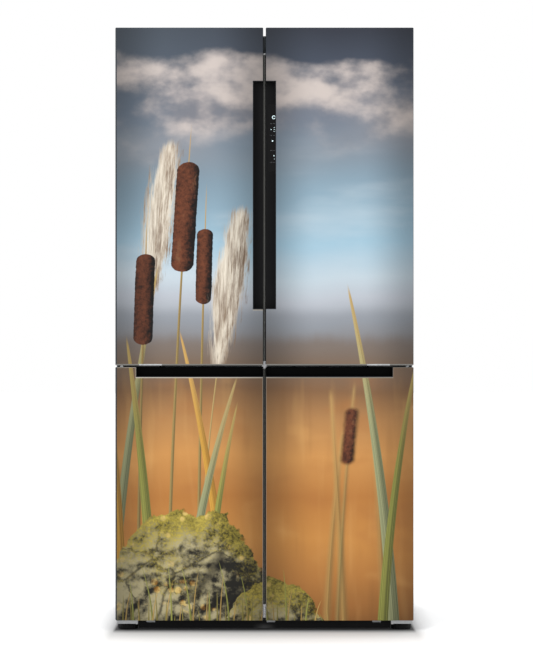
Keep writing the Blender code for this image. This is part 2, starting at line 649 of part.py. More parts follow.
def main():
    clear_scene()
    steel = finish("steel_grey", (0.24, 0.25, 0.26), 0.38, 0.75)
    foam = finish("cabinet_front_grey", (0.42, 0.43, 0.44), 0.5)
    zinc = finish("zinc_plate", (0.62, 0.63, 0.64), 0.35, 1.0)
    black = finish("black_plastic", (0.012, 0.013, 0.014), 0.42)
    dark = finish("dark_plastic", (0.05, 0.053, 0.057), 0.5)
    rubber = finish("gasket_grey", (0.35, 0.36, 0.37), 0.7)
    white = finish("liner_white", (0.82, 0.84, 0.85), 0.3)
    clear = finish("clear_plastic", (0.85, 0.9, 0.92), 0.12, alpha=0.4)
    glass = finish("shelf_glass", (0.8, 0.88, 0.86), 0.05, alpha=0.35)
    nylon = finish("roller_nylon", (0.75, 0.75, 0.73), 0.45)

    cabinet_walls(steel, foam)
    freezer_shell(foam)
    liners(white)
    machine_cover(zinc)
    power_inlet(black)
    base(zinc, black)
    rollers(nylon)
    feet(black)
    fridge_inside(glass, clear, white)
    freezer_inside(clear)
    for side in (-1, 1):
        top_hinge(side, zinc, dark)
        middle_hinge(side, zinc)
        bottom_hinge(side, zinc)
        upper_door(side, steel, black, rubber, white, clear)
        lower_door(side, steel, black, rubber, white)


main()
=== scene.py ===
"""The looks of a four-door fridge-freezer whose door fronts carry one printed film.

model.glb holds the measured solids. Each section below finishes one part of the appliance, in the
order in which it is put together: cabinet, inside, base, hinges, doors, film, grips, studio.
"""

import math

import bmesh
import bpy
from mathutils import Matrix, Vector


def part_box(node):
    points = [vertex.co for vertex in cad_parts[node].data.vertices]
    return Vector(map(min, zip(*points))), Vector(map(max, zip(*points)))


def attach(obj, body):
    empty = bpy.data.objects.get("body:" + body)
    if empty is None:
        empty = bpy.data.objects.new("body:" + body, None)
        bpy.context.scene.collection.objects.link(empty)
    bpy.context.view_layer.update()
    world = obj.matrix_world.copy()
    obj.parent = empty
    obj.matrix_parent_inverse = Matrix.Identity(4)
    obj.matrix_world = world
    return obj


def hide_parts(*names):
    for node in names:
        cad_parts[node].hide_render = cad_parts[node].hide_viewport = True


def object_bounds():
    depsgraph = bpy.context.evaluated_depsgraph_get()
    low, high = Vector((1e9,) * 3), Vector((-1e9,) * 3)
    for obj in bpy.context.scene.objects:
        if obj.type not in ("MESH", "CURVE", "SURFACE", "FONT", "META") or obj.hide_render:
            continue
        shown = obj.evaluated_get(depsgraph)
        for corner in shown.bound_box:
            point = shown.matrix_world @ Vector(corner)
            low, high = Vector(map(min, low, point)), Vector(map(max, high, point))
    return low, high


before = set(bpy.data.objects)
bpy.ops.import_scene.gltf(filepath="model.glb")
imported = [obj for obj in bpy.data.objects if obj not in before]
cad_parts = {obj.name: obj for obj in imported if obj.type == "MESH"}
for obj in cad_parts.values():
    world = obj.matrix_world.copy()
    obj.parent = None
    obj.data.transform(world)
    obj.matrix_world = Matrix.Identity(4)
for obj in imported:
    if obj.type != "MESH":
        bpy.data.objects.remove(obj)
cad_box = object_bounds()


# Cabinet sides ----------------------------------
# Two foamed walls wrapped in pre-painted dark grey steel. The paint is satin, with a fine orange
# peel, faint smudges and a little dust low down. Each wall is the solid with its edges smoothed.


class Wire:
    """A socket in a material. Sums on wires add Math nodes, and node() adds any other node."""

    def __init__(self, tree, socket=None):
        self.tree = tree
        self.socket = socket

    def node(self, kind, settings=None, values=None, output=0):
        """A new node. Its settings are set first, then its sockets' values or wires. A colour is given
        as a screen shows it, 0 to 255 a channel."""
        made = self.tree.nodes.new(f"ShaderNode{kind}")
        for name, value in (settings or {}).items():
            if name == "stops":
                ramp = made.color_ramp.elements
                for place, colour in value[1:-1]:
                    ramp.new(place).color = tone(*colour)
                for stop, (place, colour) in ((ramp[0], value[0]), (ramp[-1], value[-1])):
                    stop.position, stop.color = place, tone(*colour)
            else:
                setattr(made, name, value)
        live = [socket for socket in made.inputs if socket.enabled]
        for name, value in (values or {}).items():
            socket = live[name] if isinstance(name, int) else next(s for s in live if s.name == name)
            if isinstance(value, Wire):
                self.tree.links.new(value.socket, socket)
            else:
                socket.default_value = tone(*value) if socket.type == "RGBA" else value
        return Wire(self.tree, [socket for socket in made.outputs if socket.enabled][output])

    def axes(self):
        """How far a place is to the right, to the back and up."""
        split = self.node("SeparateXYZ", None, {0: self})
        return [Wire(self.tree, socket) for socket in split.socket.node.outputs]

    def math(self, operation, *others):
        """A sum of this wire, first, with others."""
        return self.node("Math", {"operation": operation}, dict(enumerate((self, *others))))

    def __add__(self, other):
        return self.math("ADD", other)

    __radd__ = __add__

    def __sub__(self, other):
        return self.math("SUBTRACT", other)

    def __rsub__(self, other):
        return self * -1 + other

    def __mul__(self, other):
        return self.math("MULTIPLY", other)

    __rmul__ = __mul__

    def __truediv__(self, other):
        return self.math("DIVIDE", other)

    def __abs__(self):
        return self.math("ABSOLUTE")

    def fade(self, start, end):
        """0 at start and 1 at end, with a soft step between, whichever is larger."""
        return self.node("MapRange", {"interpolation_type": "SMOOTHSTEP"},
                         {"Value": self, "From Min": start, "From Max": end})

    def noise(self, scale, detail=2.0, roughness=0.5, stretch=(1, 1, 1)):
        """Mottling between 0 and 1, its features about 1 / scale metres wide, drawn out by stretch."""
        place = self.node("VectorMath", {"operation": "MULTIPLY"}, {0: self, 1: stretch})
        return self.node("TexNoise", None,
                         {"Vector": place, "Scale": scale, "Detail": detail, "Roughness": roughness})

    def cells(self, feature, scale, output=0):
        """The distances or colours of cells about 1 / scale metres wide."""
        return self.node("TexVoronoi", {"feature": feature}, {"Vector": self, "Scale": scale}, output)

    def blend(self, first, second):
        """A colour between two others, this wire being the share of the second."""
        return self.node("Mix", {"data_type": "RGBA"}, {"Factor": self, "A": first, "B": second})

    def relief(self, depth):
        """A surface normal from this height, 0 to 1, whose full step is depth metres."""
        return self.node("Bump", None, {"Strength": 1.0, "Distance": depth, "Height": self})


def tone(red, green, blue):
    """A colour of three channels as a screen shows it, in the linear values that shaders take."""
    channels = [c / 255 for c in (red, green, blue)]
    return tuple(c / 12.92 if c < 0.04 else ((c + 0.055) / 1.055) ** 2.4 for c in channels) + (1.0,)


def finish(name):
    """A new material, and the wire of places in metres on the whole appliance."""
    material = bpy.data.materials.new(name)
    material.use_nodes = True
    return material, Wire(material.node_tree).node("TexCoord", output=3)


def feed(material, values):
    """Sets or links the sockets of a material's shader."""
    shader = material.node_tree.nodes["Principled BSDF"]
    for name, value in values.items():
        if isinstance(value, Wire):
            material.node_tree.links.new(value.socket, shader.inputs[name])
        else:
            shader.inputs[name].default_value = value


def marked(name, marks, first, second, rise, others, grain=None):
    """A material that its marks take from one colour to another. Among the other sockets, a pair is
    a floor and what the marks add to it. The bumps are those of the grain, or else of the marks."""
    material, at = finish(name)
    mark = at.noise(*marks)
    bumps = at.noise(*grain) if grain else mark
    feed(material, {"Base Color": mark.blend(first, second), "Normal": bumps.relief(rise)})
    feed(material, {socket: mark * value[1] + value[0] if isinstance(value, tuple) else value
                    for socket, value in others.items()})
    return material


def placed(name, data):
    """A new object at the origin."""
    thing = bpy.data.objects.new(name, data)
    bpy.context.scene.collection.objects.link(thing)
    return thing


def plain(piece):
    """What a piece's modifiers make of it, as a mesh."""
    bpy.context.view_layer.update()
    return bpy.data.meshes.new_from_object(piece.evaluated_get(bpy.context.evaluated_depsgraph_get()))


def settle(piece, body, stands_for=()):
    """Works a piece's modifiers into its mesh, and says what it rides on and stands for."""
    made = plain(piece)
    piece.modifiers.clear()
    piece.data = made
    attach(piece, body)
    if stands_for:
        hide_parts(*stands_for)
    return piece


def mesh_of(name, shape, sharp):
    """A bmesh made into a mesh that is shaded smoothly up to edges sharper than an angle in degrees."""
    mesh = bpy.data.meshes.new(name)
    shape.to_mesh(mesh)
    shape.free()
    mesh.shade_smooth()
    mesh.set_sharp_from_angle(angle=math.radians(sharp))
    return mesh


def solid(name, shape, material, body="cabinet", stands_for=(), sharp=40):
    """A piece made from a bmesh, riding on its body."""
    mesh = mesh_of(name, shape, sharp)
    mesh.materials.append(material)
    piece = placed(name, mesh)
    piece.modifiers.new("even_shading", "WEIGHTED_NORMAL").keep_sharp = True
    return settle(piece, body, stands_for)


def copied(node, flat_faces=False):
    """A solid's shape with its loose triangles joined up, or with its flat faces made whole."""
    shape = bmesh.new()
    shape.from_mesh(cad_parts[node].data)
    bmesh.ops.remove_doubles(shape, verts=shape.verts, dist=1e-5)
    if flat_faces:
        bmesh.ops.dissolve_limit(shape, angle_limit=math.radians(1), verts=shape.verts, edges=shape.edges)
    return shape


def smoothed(name, node, material, body="cabinet"):
    """A piece in a solid's own shape, with its rounded edges shaded as round."""
    return solid(name, copied(node), material, body, (node,))


SIDES = (("left", -1), ("right", 1))

skin_paint, at = finish("skin_paint")
height = at.axes()[2]
smudge = at.noise(5, 4.0, 0.6)
dust = height.fade(0.45, 0.02) * at.noise(40, 4.0, 0.7)
clean_paint = smudge.blend((84, 90, 95), (92, 98, 103))
feed(skin_paint, {
    "Base Color": (dust * 0.35).blend(clean_paint, (150, 146, 138)),
    "Roughness": 0.34 + smudge * 0.12 + dust * 0.25,
    "Metallic": 0.35,
    "Normal": at.noise(900).relief(0.00006),
})
for label, _ in SIDES:
    smoothed(f"side_skin_{label}", f"cabinet_side_{label}", skin_paint)


# Top and rear -----------------------------------
# The top is painted as the sides are. The rear is a galvanised sheet, stiffened by upright pressed
# beads and held by screws down both edges. Two plugs close the holes that it was foamed through.


def block(low, high, rounding=0.0, segments=3, shape=None):
    """A box between two corners, with rounded edges, as a new shape or added to one."""
    if shape is None:
        shape = bmesh.new()
    low, high = [[pick(pair) for pair in zip(low, high)] for pick in (min, max)]
    corners = [shape.verts.new((x, y, z)) for z in (low[2], high[2]) for y in (low[1], high[1])
               for x in (low[0], high[0])]
    sides = [(0, 2, 3, 1), (4, 5, 7, 6), (0, 1, 5, 4), (2, 6, 7, 3), (0, 4, 6, 2), (1, 3, 7, 5)]
    faces = [shape.faces.new([corners[i] for i in side]) for side in sides]
    if rounding:
        soften(shape, list({edge for face in faces for edge in face.edges}), rounding, segments)
    return shape


def soften(shape, edges, offset, segments):
    """Rounds some edges of a shape."""
    bmesh.ops.bevel(shape, geom=edges, offset=offset, segments=segments, profile=0.5,
                    affect="EDGES", clamp_overlap=True)


def loft(rings, closed=False, shape=None):
    """A skin through rings of as many points each. Its ends are capped, or joined if closed."""
    if shape is None:
        shape = bmesh.new()
    rows = [[shape.verts.new(point) for point in ring] for ring in rings]
    pairs = list(zip(rows, rows[1:])) + ([(rows[-1], rows[0])] if closed else [])
    for row, following in pairs:
        for i in range(len(row)):
            j = (i + 1) % len(row)
            shape.faces.new((row[i], row[j], following[j], following[i]))
    if not closed:
        shape.faces.new(rows[0][::-1])
        shape.faces.new(rows[-1])
    bmesh.ops.recalc_face_normals(shape, faces=shape.faces)
    return shape


def round_points(steps, start=0.5, whole=2.0):
    """Points round a circle of radius 1, or round a part of one, whole being 2 for all of it."""
    turns = [math.pi * whole * (step + start) / steps for step in range(steps + (whole < 2))]
    return [(math.cos(turn), math.sin(turn)) for turn in turns]


def lathe(profile, centre=(0, 0, 0), axis="z", steps=32, closed=False):
    """A turned shape from (radius, height) points, about an axis through a centre."""
    rings = []
    for radius, along in profile:
        flat_ring = [(radius * p, radius * q) for p, q in round_points(steps)]
        rings.append([Vector(centre) + Vector((along, p, q) if axis == "x" else (p, q, along))
                      for p, q in flat_ring])
    return loft(rings, closed)


def pattern_tree():
    """Geometry Nodes that set a pattern at every point of a mesh, turned alike and spun by chance."""
    tree = bpy.data.node_groups.new("set_at_points", "GeometryNodeTree")
    for label, kind in (("Points", "Geometry"), ("Pattern", "Object"), ("Turn", "Vector"),
                        ("Spin", "Float"), ("Seed", "Int"), ("Finish", "Material"), ("Pieces", "Geometry")):
        way = "OUTPUT" if label == "Pieces" else "INPUT"
        tree.interface.new_socket(label, in_out=way, socket_type=f"NodeSocket{kind}")
    given, result, pattern, place, turn, chance, own, spin, both, real, paint = [
        tree.nodes.new(kind) for kind in (
            "NodeGroupInput", "NodeGroupOutput", "GeometryNodeObjectInfo", "GeometryNodeInstanceOnPoints",
            "FunctionNodeEulerToRotation", "FunctionNodeRandomValue", "ShaderNodeCombineXYZ",
            "FunctionNodeEulerToRotation", "FunctionNodeRotateRotation", "GeometryNodeRealizeInstances",
            "GeometryNodeSetMaterial")]
    both.rotation_space = "LOCAL"
    chance.data_type = "FLOAT"
    float_max, float_out = 3, 1  # the places of the random node's sockets for a float
    for source, output, target, socket in (
            (given, "Points", place, "Points"), (given, "Pattern", pattern, "Object"),
            (pattern, "Geometry", place, "Instance"), (given, "Turn", turn, 0),
            (given, "Spin", chance, float_max), (given, "Seed", chance, "Seed"),
            (chance, float_out, own, "Z"), (own, 0, spin, 0), (turn, 0, both, "Rotation"),
            (spin, 0, both, "Rotate By"), (both, 0, place, "Rotation"),
            (place, "Instances", real, "Geometry"), (real, 0, paint, "Geometry"),
            (given, "Finish", paint, "Material"), (paint, 0, result, "Pieces")):
        tree.links.new(source.outputs[output], target.inputs[socket])
    return tree


set_at_points = pattern_tree()


def repeated(name, pattern, places, material, turn=(0, 0, 0), spin=0.0, seed=1):
    """One piece of the cabinet, made of the same small shape at many places, each spun by chance."""
    model = placed(f"{name}_pattern", mesh_of(f"{name}_pattern", pattern, 35))
    points = bpy.data.meshes.new(f"{name}_places")
    points.from_pydata([Vector(place) for place in places], [], [])
    piece = placed(name, points)
    repeat = piece.modifiers.new("repeat", "NODES")
    repeat.node_group = set_at_points
    values = {"Pattern": model, "Turn": turn, "Spin": spin, "Seed": seed, "Finish": material}
    for item in set_at_points.interface.items_tree:
        if item.in_out == "INPUT" and item.name in values:
            repeat[item.identifier] = values[item.name]
    settle(piece, "cabinet")
    bpy.data.objects.remove(model)


def both_sides(places):
    """Places on the left and then on the right, from those on the right."""
    return [(side * x, y, z) for side in (-1, 1) for x, y, z in places]


def screw(radius):
    """A pan-head screw with a cross recess, its head standing on z = 0."""
    tall = radius * 0.55
    star = []
    rim = []
    for arm in range(4):
        for offset, reach in ((-0.16, 0.58), (0.16, 0.58), (math.pi / 4, 0.16)):
            angle = arm * math.pi / 2 + offset
            star.append((reach * radius * math.cos(angle), reach * radius * math.sin(angle)))
        for offset in (-15, 15, 45):
            angle = arm * math.pi / 2 + math.radians(offset)
            rim.append((math.cos(angle), math.sin(angle)))
    rings = [[(x * radius * share, y * radius * share, tall * up) for x, y in rim]
             for share, up in ((1.0, -0.2), (1.0, 0.45), (0.88, 0.8), (0.68, 1.0))]
    rings += [[(x * share, y * share, tall * up) for x, y in star]
              for share, up in ((1.0, 1.0), (0.8, 0.35))]
    return loft(rings)


def dress(node, material):
    """Gives a solid that stays in view its finish."""
    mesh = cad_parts[node].data
    mesh.materials.clear()
    mesh.materials.append(material)


zinc, at = finish("zinc_plate")
spangle = at.cells("F1", 160.0, 1)
flake = spangle.node("SeparateColor", None, {"Color": spangle})
wiped = at.noise(14, 4.0, 0.6)
scuff = at.noise(300, 3.0, 0.6, (1, 1, 0.08))
feed(zinc, {
    "Base Color": (flake * 0.4 + wiped * 0.6).blend((142, 144, 147), (186, 188, 189)),
    "Roughness": 0.26 + flake * 0.10 + wiped * 0.14,
    "Metallic": 1.0,
    "Normal": (scuff * 0.5 + flake * 0.5).relief(0.00005),
})

rear_low, rear_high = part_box("cabinet_top_back")
back_face = rear_high.y
rear_paint, at = finish("rear_paint")
on_rear = at.axes()[1].fade(back_face - 0.002, back_face - 0.001)
streak = at.noise(30, 4.0, 0.6, (1, 1, 0.12))
galvanised = streak.blend((150, 154, 156), (172, 175, 176))
feed(rear_paint, {
    "Base Color": on_rear.blend((88, 94, 99), galvanised),
    "Roughness": 0.38 + streak * 0.16,
    "Metallic": 0.35 + on_rear * 0.35,
    "Normal": at.noise(900).relief(0.00006),
})
smoothed("top_and_rear", "cabinet_top_back", rear_paint)

bite = 0.0002  # how far a piece is let into what carries it
bead_low, bead_high = rear_low.z + 0.10, rear_high.z - 0.09
bead_half, bead_rise, bead_steps = 0.0085, 0.0032, 10
bead_count, bead_pitch = 7, 0.112
bead_rings = []
for step in range(-bead_steps, bead_steps + 1):
    angle = math.pi / 2 * step / bead_steps
    reach = max(math.cos(angle), 0.02)
    along = (bead_high if step > 0 else bead_low) + bead_half * math.sin(angle)
    bead_rings.append([(bead_half * reach * x, bead_rise * reach * y - bite, along)
                       for x, y in round_points(8, 0, 1.0)])
bead_places = [((k - (bead_count - 1) / 2) * bead_pitch, back_face, 0) for k in range(bead_count)]
repeated("rear_beads", loft(bead_rings), bead_places, rear_paint)

to_rear, quarter = (-math.pi / 2, 0, 0), math.pi / 2
rear_edge, rear_margin, rear_gaps = rear_high.x - 0.012, 0.06, 5
rear_step = (rear_high.z - rear_low.z - 2 * rear_margin) / rear_gaps
rear_spots = [(rear_edge, back_face, rear_low.z + rear_margin + k * rear_step) for k in range(rear_gaps + 1)]
repeated("rear_screws", screw(0.0045), both_sides(rear_spots), zinc, to_rear, quarter)

black_plastic, at = finish("black_plastic")
bloom = at.noise(25, 4.0, 0.65)
feed(black_plastic, {
    "Base Color": (bloom * 0.6).blend((9, 9, 10), (24, 24, 25)),
    "Roughness": 0.46 + bloom * 0.16,
    "Specular IOR Level": 0.14,
    "Normal": at.cells("SMOOTH_F1", 1500.0).relief(0.00007),
})
plug = lathe([(0.0165, -0.0004), (0.0165, 0.0012), (0.0150, 0.0024), (0.0112, 0.0026), (0.0100, 0.0012),
              (0.0012, 0.0012)])
plug_places = [(0.30, back_face, 0.62), (-0.30, back_face, 1.38)]
repeated("foam_plugs", plug, plug_places, black_plastic, to_rear)


# Front frame ------------------------------------
# The divider, the fixed post between the upper doors and the freezer's foamed shell, in grey paint.
# The seals close on a satin metal strip down the middle, with a painted highlight along its crest
# beside the upper doors, and light plastic caps finish its joints.

frame_paint = marked("frame_paint", (18, 4.0, 0.6), (112, 115, 118), (124, 127, 129), 0.00005,
                     {"Roughness": (0.36, 0.14), "Metallic": 0.2}, (700,))
for node in ("cabinet_divider", "freezer_shell"):
    dress(node, frame_paint)
smoothed("middle_post", "centre_post", frame_paint)

seal_metal, at = finish("seal_metal")
across, _, upward = at.axes()
drawn = at.noise(900, 3.0, 0.6, (1, 1, 0.02))
# painted highlight: a lighter band along the crest of the strip, mainly above the divider
ridge = abs(across - 0.0014).fade(0.0020, 0.0008) * upward.fade(0.75, 0.85)
feed(seal_metal, {
    "Base Color": ridge.blend(drawn.blend((70, 70, 68), (88, 88, 85)), (118, 118, 116)),
    "Roughness": 0.20 + drawn * 0.10,
    "Metallic": 1.0,
    "Normal": drawn.relief(0.00003),
})
post_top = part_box("centre_post")[1].z
cabinet_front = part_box("cabinet_divider")[0].y
strip_half, strip_rise, strip_gap = 0.0085, 0.0022, 0.0004
divider_cap_low, divider_cap_top, sill_cap_low, sill_cap_top = 0.7940, 0.8173, 0.0303, 0.0732
# The strip's section is a raised flat, wider on the left, and a slope down on the right.
strip_section = ((-strip_half, -0.0003), (-strip_half, strip_rise * 0.6), (-strip_half + 0.0008, strip_rise),
                 (0.0012, strip_rise), (0.0026, strip_rise * 0.35), (strip_half, strip_rise * 0.25),
                 (strip_half, -0.0003))
for name, low, high in (("post_strip", divider_cap_top + strip_gap, post_top - 0.001),
                        ("partition_strip", sill_cap_top + strip_gap, divider_cap_low - strip_gap)):
    strip = loft([[(x, cabinet_front - y, z) for x, y in strip_section] for z in (low, high)])
    solid(name, strip, seal_metal, sharp=25)

cap_plastic = marked("joint_cap", (600,), (172, 172, 174), (182, 182, 184), 0.00003,
                     {"Roughness": (0.16, 0.05), "Metallic": 0.85})
cap_front = cabinet_front - strip_rise - 0.0006
for name, low, high in (("divider_cap", divider_cap_low, divider_cap_top),
                        ("sill_cap", sill_cap_low, sill_cap_top),
                        ("post_cap", post_top, post_top + 0.0052)):
    cap = block((-strip_half, cap_front, low), (strip_half, cabinet_front + bite, high), 0.0009, 2)
    solid(name, cap, cap_plastic)


# Liners and lights ------------------------------
# Each compartment is lined with one vacuum-formed white tub, glossy, with ledges for what it holds
# and ribs in its back. Frosted light bars stand at the mouth of the fridge, and one is in its roof.

liner_white = marked("liner_white", (9, 3.0, 0.5), (226, 230, 231), (236, 239, 239), 0.00003,
                     {"Roughness": (0.20, 0.10), "Coat Weight": 0.25}, (1200,))
for node in ("liner_fridge", "liner_freezer_left", "liner_freezer_right"):
    smoothed(f"{node}_tub", node, liner_white)

liner_wall = 0.0028
duct_low, duct_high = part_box("air_duct")
fridge_wall, fridge_back, fridge_roof = [edge - liner_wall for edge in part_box("liner_fridge")[1]]
freezer_low, freezer_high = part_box("liner_freezer_right")
freezer_back = freezer_high.y - liner_wall


def rib(length):
    """A rounded upright rib on a wall that faces -Y, its foot at z = 0."""
    half, rise, half_round = 0.004, 0.002, round_points(6, 0, 1.0)
    return loft([[(half * full * x, bite - rise * full * y, length * share) for x, y in half_round]
                 for share, full in ((0.0, 0.3), (0.02, 1.0), (0.98, 1.0), (1.0, 0.3))])


for name, first, pitch, count, foot, length in (
        ("fridge", 0.135, 0.031, 9, (fridge_back, duct_low.z + 0.02), duct_high.z - duct_low.z - 0.04),
        ("freezer", 0.075, 0.0255, 12, (freezer_back, 0.14), 0.40)):
    places = both_sides([(first + pitch * k, *foot) for k in range(count)])
    repeated(f"{name}_back_ribs", rib(length), places, liner_white)

lens_white, at = finish("lamp_lens")
prisms = at.node("TexWave", {"wave_type": "BANDS", "bands_direction": "Z"}, {"Vector": at, "Scale": 80.0})
feed(lens_white, {
    "Base Color": prisms.blend((238, 240, 242), (250, 250, 250)),
    "Roughness": 0.32 + prisms * 0.1,
    "Emission Color": prisms.blend((236, 242, 250), (255, 255, 255)),
    "Emission Strength": 0.9,
    "Normal": prisms.relief(0.0004),
})
for label, side in SIDES:
    light_bar = block((side * (fridge_wall + bite), -0.222, 0.90),
                      (side * (fridge_wall - 0.0045), -0.204, 1.70), 0.002)
    solid(f"light_bar_{label}", light_bar, lens_white)
roof_light = block((-0.13, -0.10, fridge_roof + bite), (0.13, -0.06, fridge_roof - 0.0065), 0.003)
solid("light_roof", roof_light, lens_white)


# Air duct ---------------------------------------
# A white moulding clipped up the middle of the fridge's back. Cold air leaves it through rows of
# small hooded outlets between the shelves, and the freezer halves have a slatted grille each.
# Near-black sheets in the outlets and behind the grilles are painted shade.

smoothed("air_duct_cover", "air_duct", liner_white)
shelves = ("crisper_shelf", "shelf_1", "shelf_2", "shelf_3")
outlet_gap, outlet_rows, outlet_half = 0.014, 4, 0.023
outlet_places = [(x, duct_low.y, top + 0.045 + outlet_gap * row)
                 for top in [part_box(node)[1].z for node in shelves]
                 for row in range(outlet_rows) for x in (-0.055, 0, 0.055)
                 if top + 0.05 + outlet_gap * row < duct_high.z - 0.02]


def slat(half, deep, tall):
    """A small hood on a wall that faces -Y: it slopes out and down over its opening."""
    section = [(bite, 0.0), (-deep, -tall * 0.35), (-deep, -tall * 0.60), (-deep * 0.55, -tall * 0.72),
               (bite, -tall * 0.4)]
    return loft([[(x, y, z) for y, z in section] for x in (-half, half)])


repeated("duct_hoods", slat(outlet_half, 0.005, 0.009), outlet_places, liner_white)
# painted shade: near-black sheets set in the outlet mouths and behind the freezer grilles
shadow_black = marked("opening_painted_shade", (300,), (16, 17, 19), (30, 31, 33), 0.00005, {"Roughness": (0.7, 0.2)})
outlet_shade = block((-outlet_half, -0.0006, -0.0085), (outlet_half, 0.0004, -0.0042))
repeated("duct_mouths", outlet_shade, outlet_places, shadow_black)

grille_low, grille_high, grille_half, grille_rim, grille_out = 0.565, 0.735, 0.105, 0.010, 0.008
rim_low, rim_high = grille_low + grille_rim, grille_high - grille_rim
for label, side in SIDES:
    middle = side * (freezer_low.x + freezer_high.x) / 2
    left, right = middle - grille_half, middle + grille_half
    rim = bmesh.new()
    for x, z, far_x, far_z in ((left, grille_low, right, rim_low), (left, rim_high, right, grille_high),
                               (left, rim_low, left + grille_rim, rim_high),
                               (right - grille_rim, rim_low, right, rim_high)):
        block((x, freezer_back - grille_out, z), (far_x, freezer_back + bite, far_z), 0.0008, 1, rim)
    solid(f"freezer_grille_{label}", rim, liner_white)
    rows = [(middle, freezer_back - 0.001, grille_high - 0.012 - 0.0125 * k) for k in range(12)]
    slats = slat(grille_half - 0.0095, 0.0065, 0.015)
    repeated(f"freezer_slats_{label}", slats, rows, liner_white)
    # painted shade behind the slats
    dark = block((left + 0.008, freezer_back - 0.0008, grille_low + 0.008),
                 (right - 0.008, freezer_back + 0.0001, grille_high - 0.008), 0.0003, 1)
    solid(f"freezer_grille_dark_{label}", dark, shadow_black)


# Shelves ----------------------------------------
# Toughened glass plates, faintly green at their cut edges, held in white plastic trims along the
# front and the back. The front trim carries a bright metal band.


def rounded(low, high, radius, steps):
    """Points round a rectangle with rounded corners."""
    points = []
    for corner in range(4):
        x = low[0] + radius if corner in (1, 2) else high[0] - radius
        y = low[1] + radius if corner in (2, 3) else high[1] - radius
        for step in range(steps + 1):
            turn = math.pi / 2 * (corner + step / steps)
            points.append((x + radius * math.cos(turn), y + radius * math.sin(turn)))
    return points


def bar(low, high, rounding, shape=None):
    """A bar along X with rounded edges, as a new shape or added to one."""
    section = rounded(low[1:], high[1:], rounding, 3)
    return loft([[(x, y, z) for y, z in section] for x in (low[0], high[0])], shape=shape)


shelf_glass = marked("shelf_glass", (12, 4.0, 0.65), (196, 222, 214), (212, 232, 226), 0.00003,
                     {"Roughness": (0.03, 0.06), "Alpha": (0.26, 0.06), "IOR": 1.5})
bright_band = marked("bright_band", (900, 3.0, 0.6, (0.02, 1, 1)), (186, 188, 190), (214, 215, 216), 0.00002,
                     {"Roughness": (0.22, 0.12), "Metallic": 1.0})
glass_thick, trim_wide, lip_wide = 0.004, 0.012, 0.0029
for node in shelves:
    low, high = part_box(node)
    under_glass = high.z - glass_thick
    glass = block((low.x + 0.001, low.y + 0.003, under_glass),
                  (high.x - 0.001, high.y - 0.003, high.z - 0.0006), 0.0008, 2)
    solid(f"{node}_glass", glass, shelf_glass, stands_for=(node,))
    for part, front, lip, bottom in (("front", low.y, low.y, low.z),
                                     ("back", high.y - trim_wide, high.y - lip_wide, low.z + 0.004)):
        trim = bar((low.x, front, bottom), (high.x, front + trim_wide, under_glass - 0.0001), 0.0022)
        bar((low.x, lip, under_glass - 0.0012), (high.x, lip + lip_wide, high.z), 0.0012, trim)
        solid(f"{node}_trim_{part}", trim, liner_white)
    band = bar((low.x + 0.002, low.y - 0.0006, low.z + 0.0030),
               (high.x - 0.002, low.y + 0.0004, low.z + 0.0080), 0.0004)
    solid(f"{node}_band", band, bright_band)


# Drawers ----------------------------------------
# Two crispers under the lowest shelf and three drawers in each freezer half. Each is a clear
# moulded tub with drafted walls and rounded corners behind a thicker frosted front with a grip.


def tub(low, high, wall, corner, draft):
    """An open moulded box: drafted outside, rolled rim, and the same shape again for its inside."""
    span = high[2] - low[2]
    inner = wall + draft
    rings = []
    for inset, up, radius in (
            (draft + corner * 0.6, 0.0, corner * 0.6), (draft + corner * 0.15, span * 0.012, corner),
            (draft, span * 0.045, corner), (wall, span * 0.93, corner), (wall * 0.9, span * 0.955, corner),
            (0, span * 0.96, corner), (0, span, corner), (wall * 0.6, span, corner),
            (wall * 2, span * 0.985, corner * 0.8), (inner, corner * 0.5 + wall, corner),
            (inner + corner * 0.3, wall * 1.3, corner), (inner + corner * 0.9, wall, corner * 0.5)):
        outline = rounded([edge + inset for edge in low[:2]], [edge - inset for edge in high[:2]], radius, 5)
        rings.append([(x, y, low[2] + up) for x, y in outline])
    return loft(rings)


def drawer_front(low, high, deep):
    """A drawer's front along X: a rolled top with a scooped grip under it, and a plain face below."""
    front, base, top = low.y, low.z, high.z
    grip = top - 0.012
    section = [(front + deep, base + 0.0015), (front + deep, top - 0.002), (front + deep - 0.002, top),
               (front + 0.0025, top), (front + 0.0008, top - 0.001), (front, top - 0.0035),
               (front, grip + 0.002), (front + 0.0012, grip), (front + deep * 0.62, grip - 0.001),
               (front + deep * 0.66, grip - 0.008), (front + deep * 0.50, grip - 0.020),
               (front + deep * 0.20, grip - 0.031), (front + deep * 0.06, grip - 0.042),
               (front + 0.0004, base + 0.006), (front + 0.0015, base + 0.002),
               (front + 0.004, base + 0.0006)]
    ends = [(low.x, 0.25), (low.x + 0.0015, 0.0), (high.x - 0.0015, 0.0), (high.x, 0.25)]
    middle = front + deep / 2
    return loft([[(x, y + (middle - y) * tuck, z) for y, z in section] for x, tuck in ends])


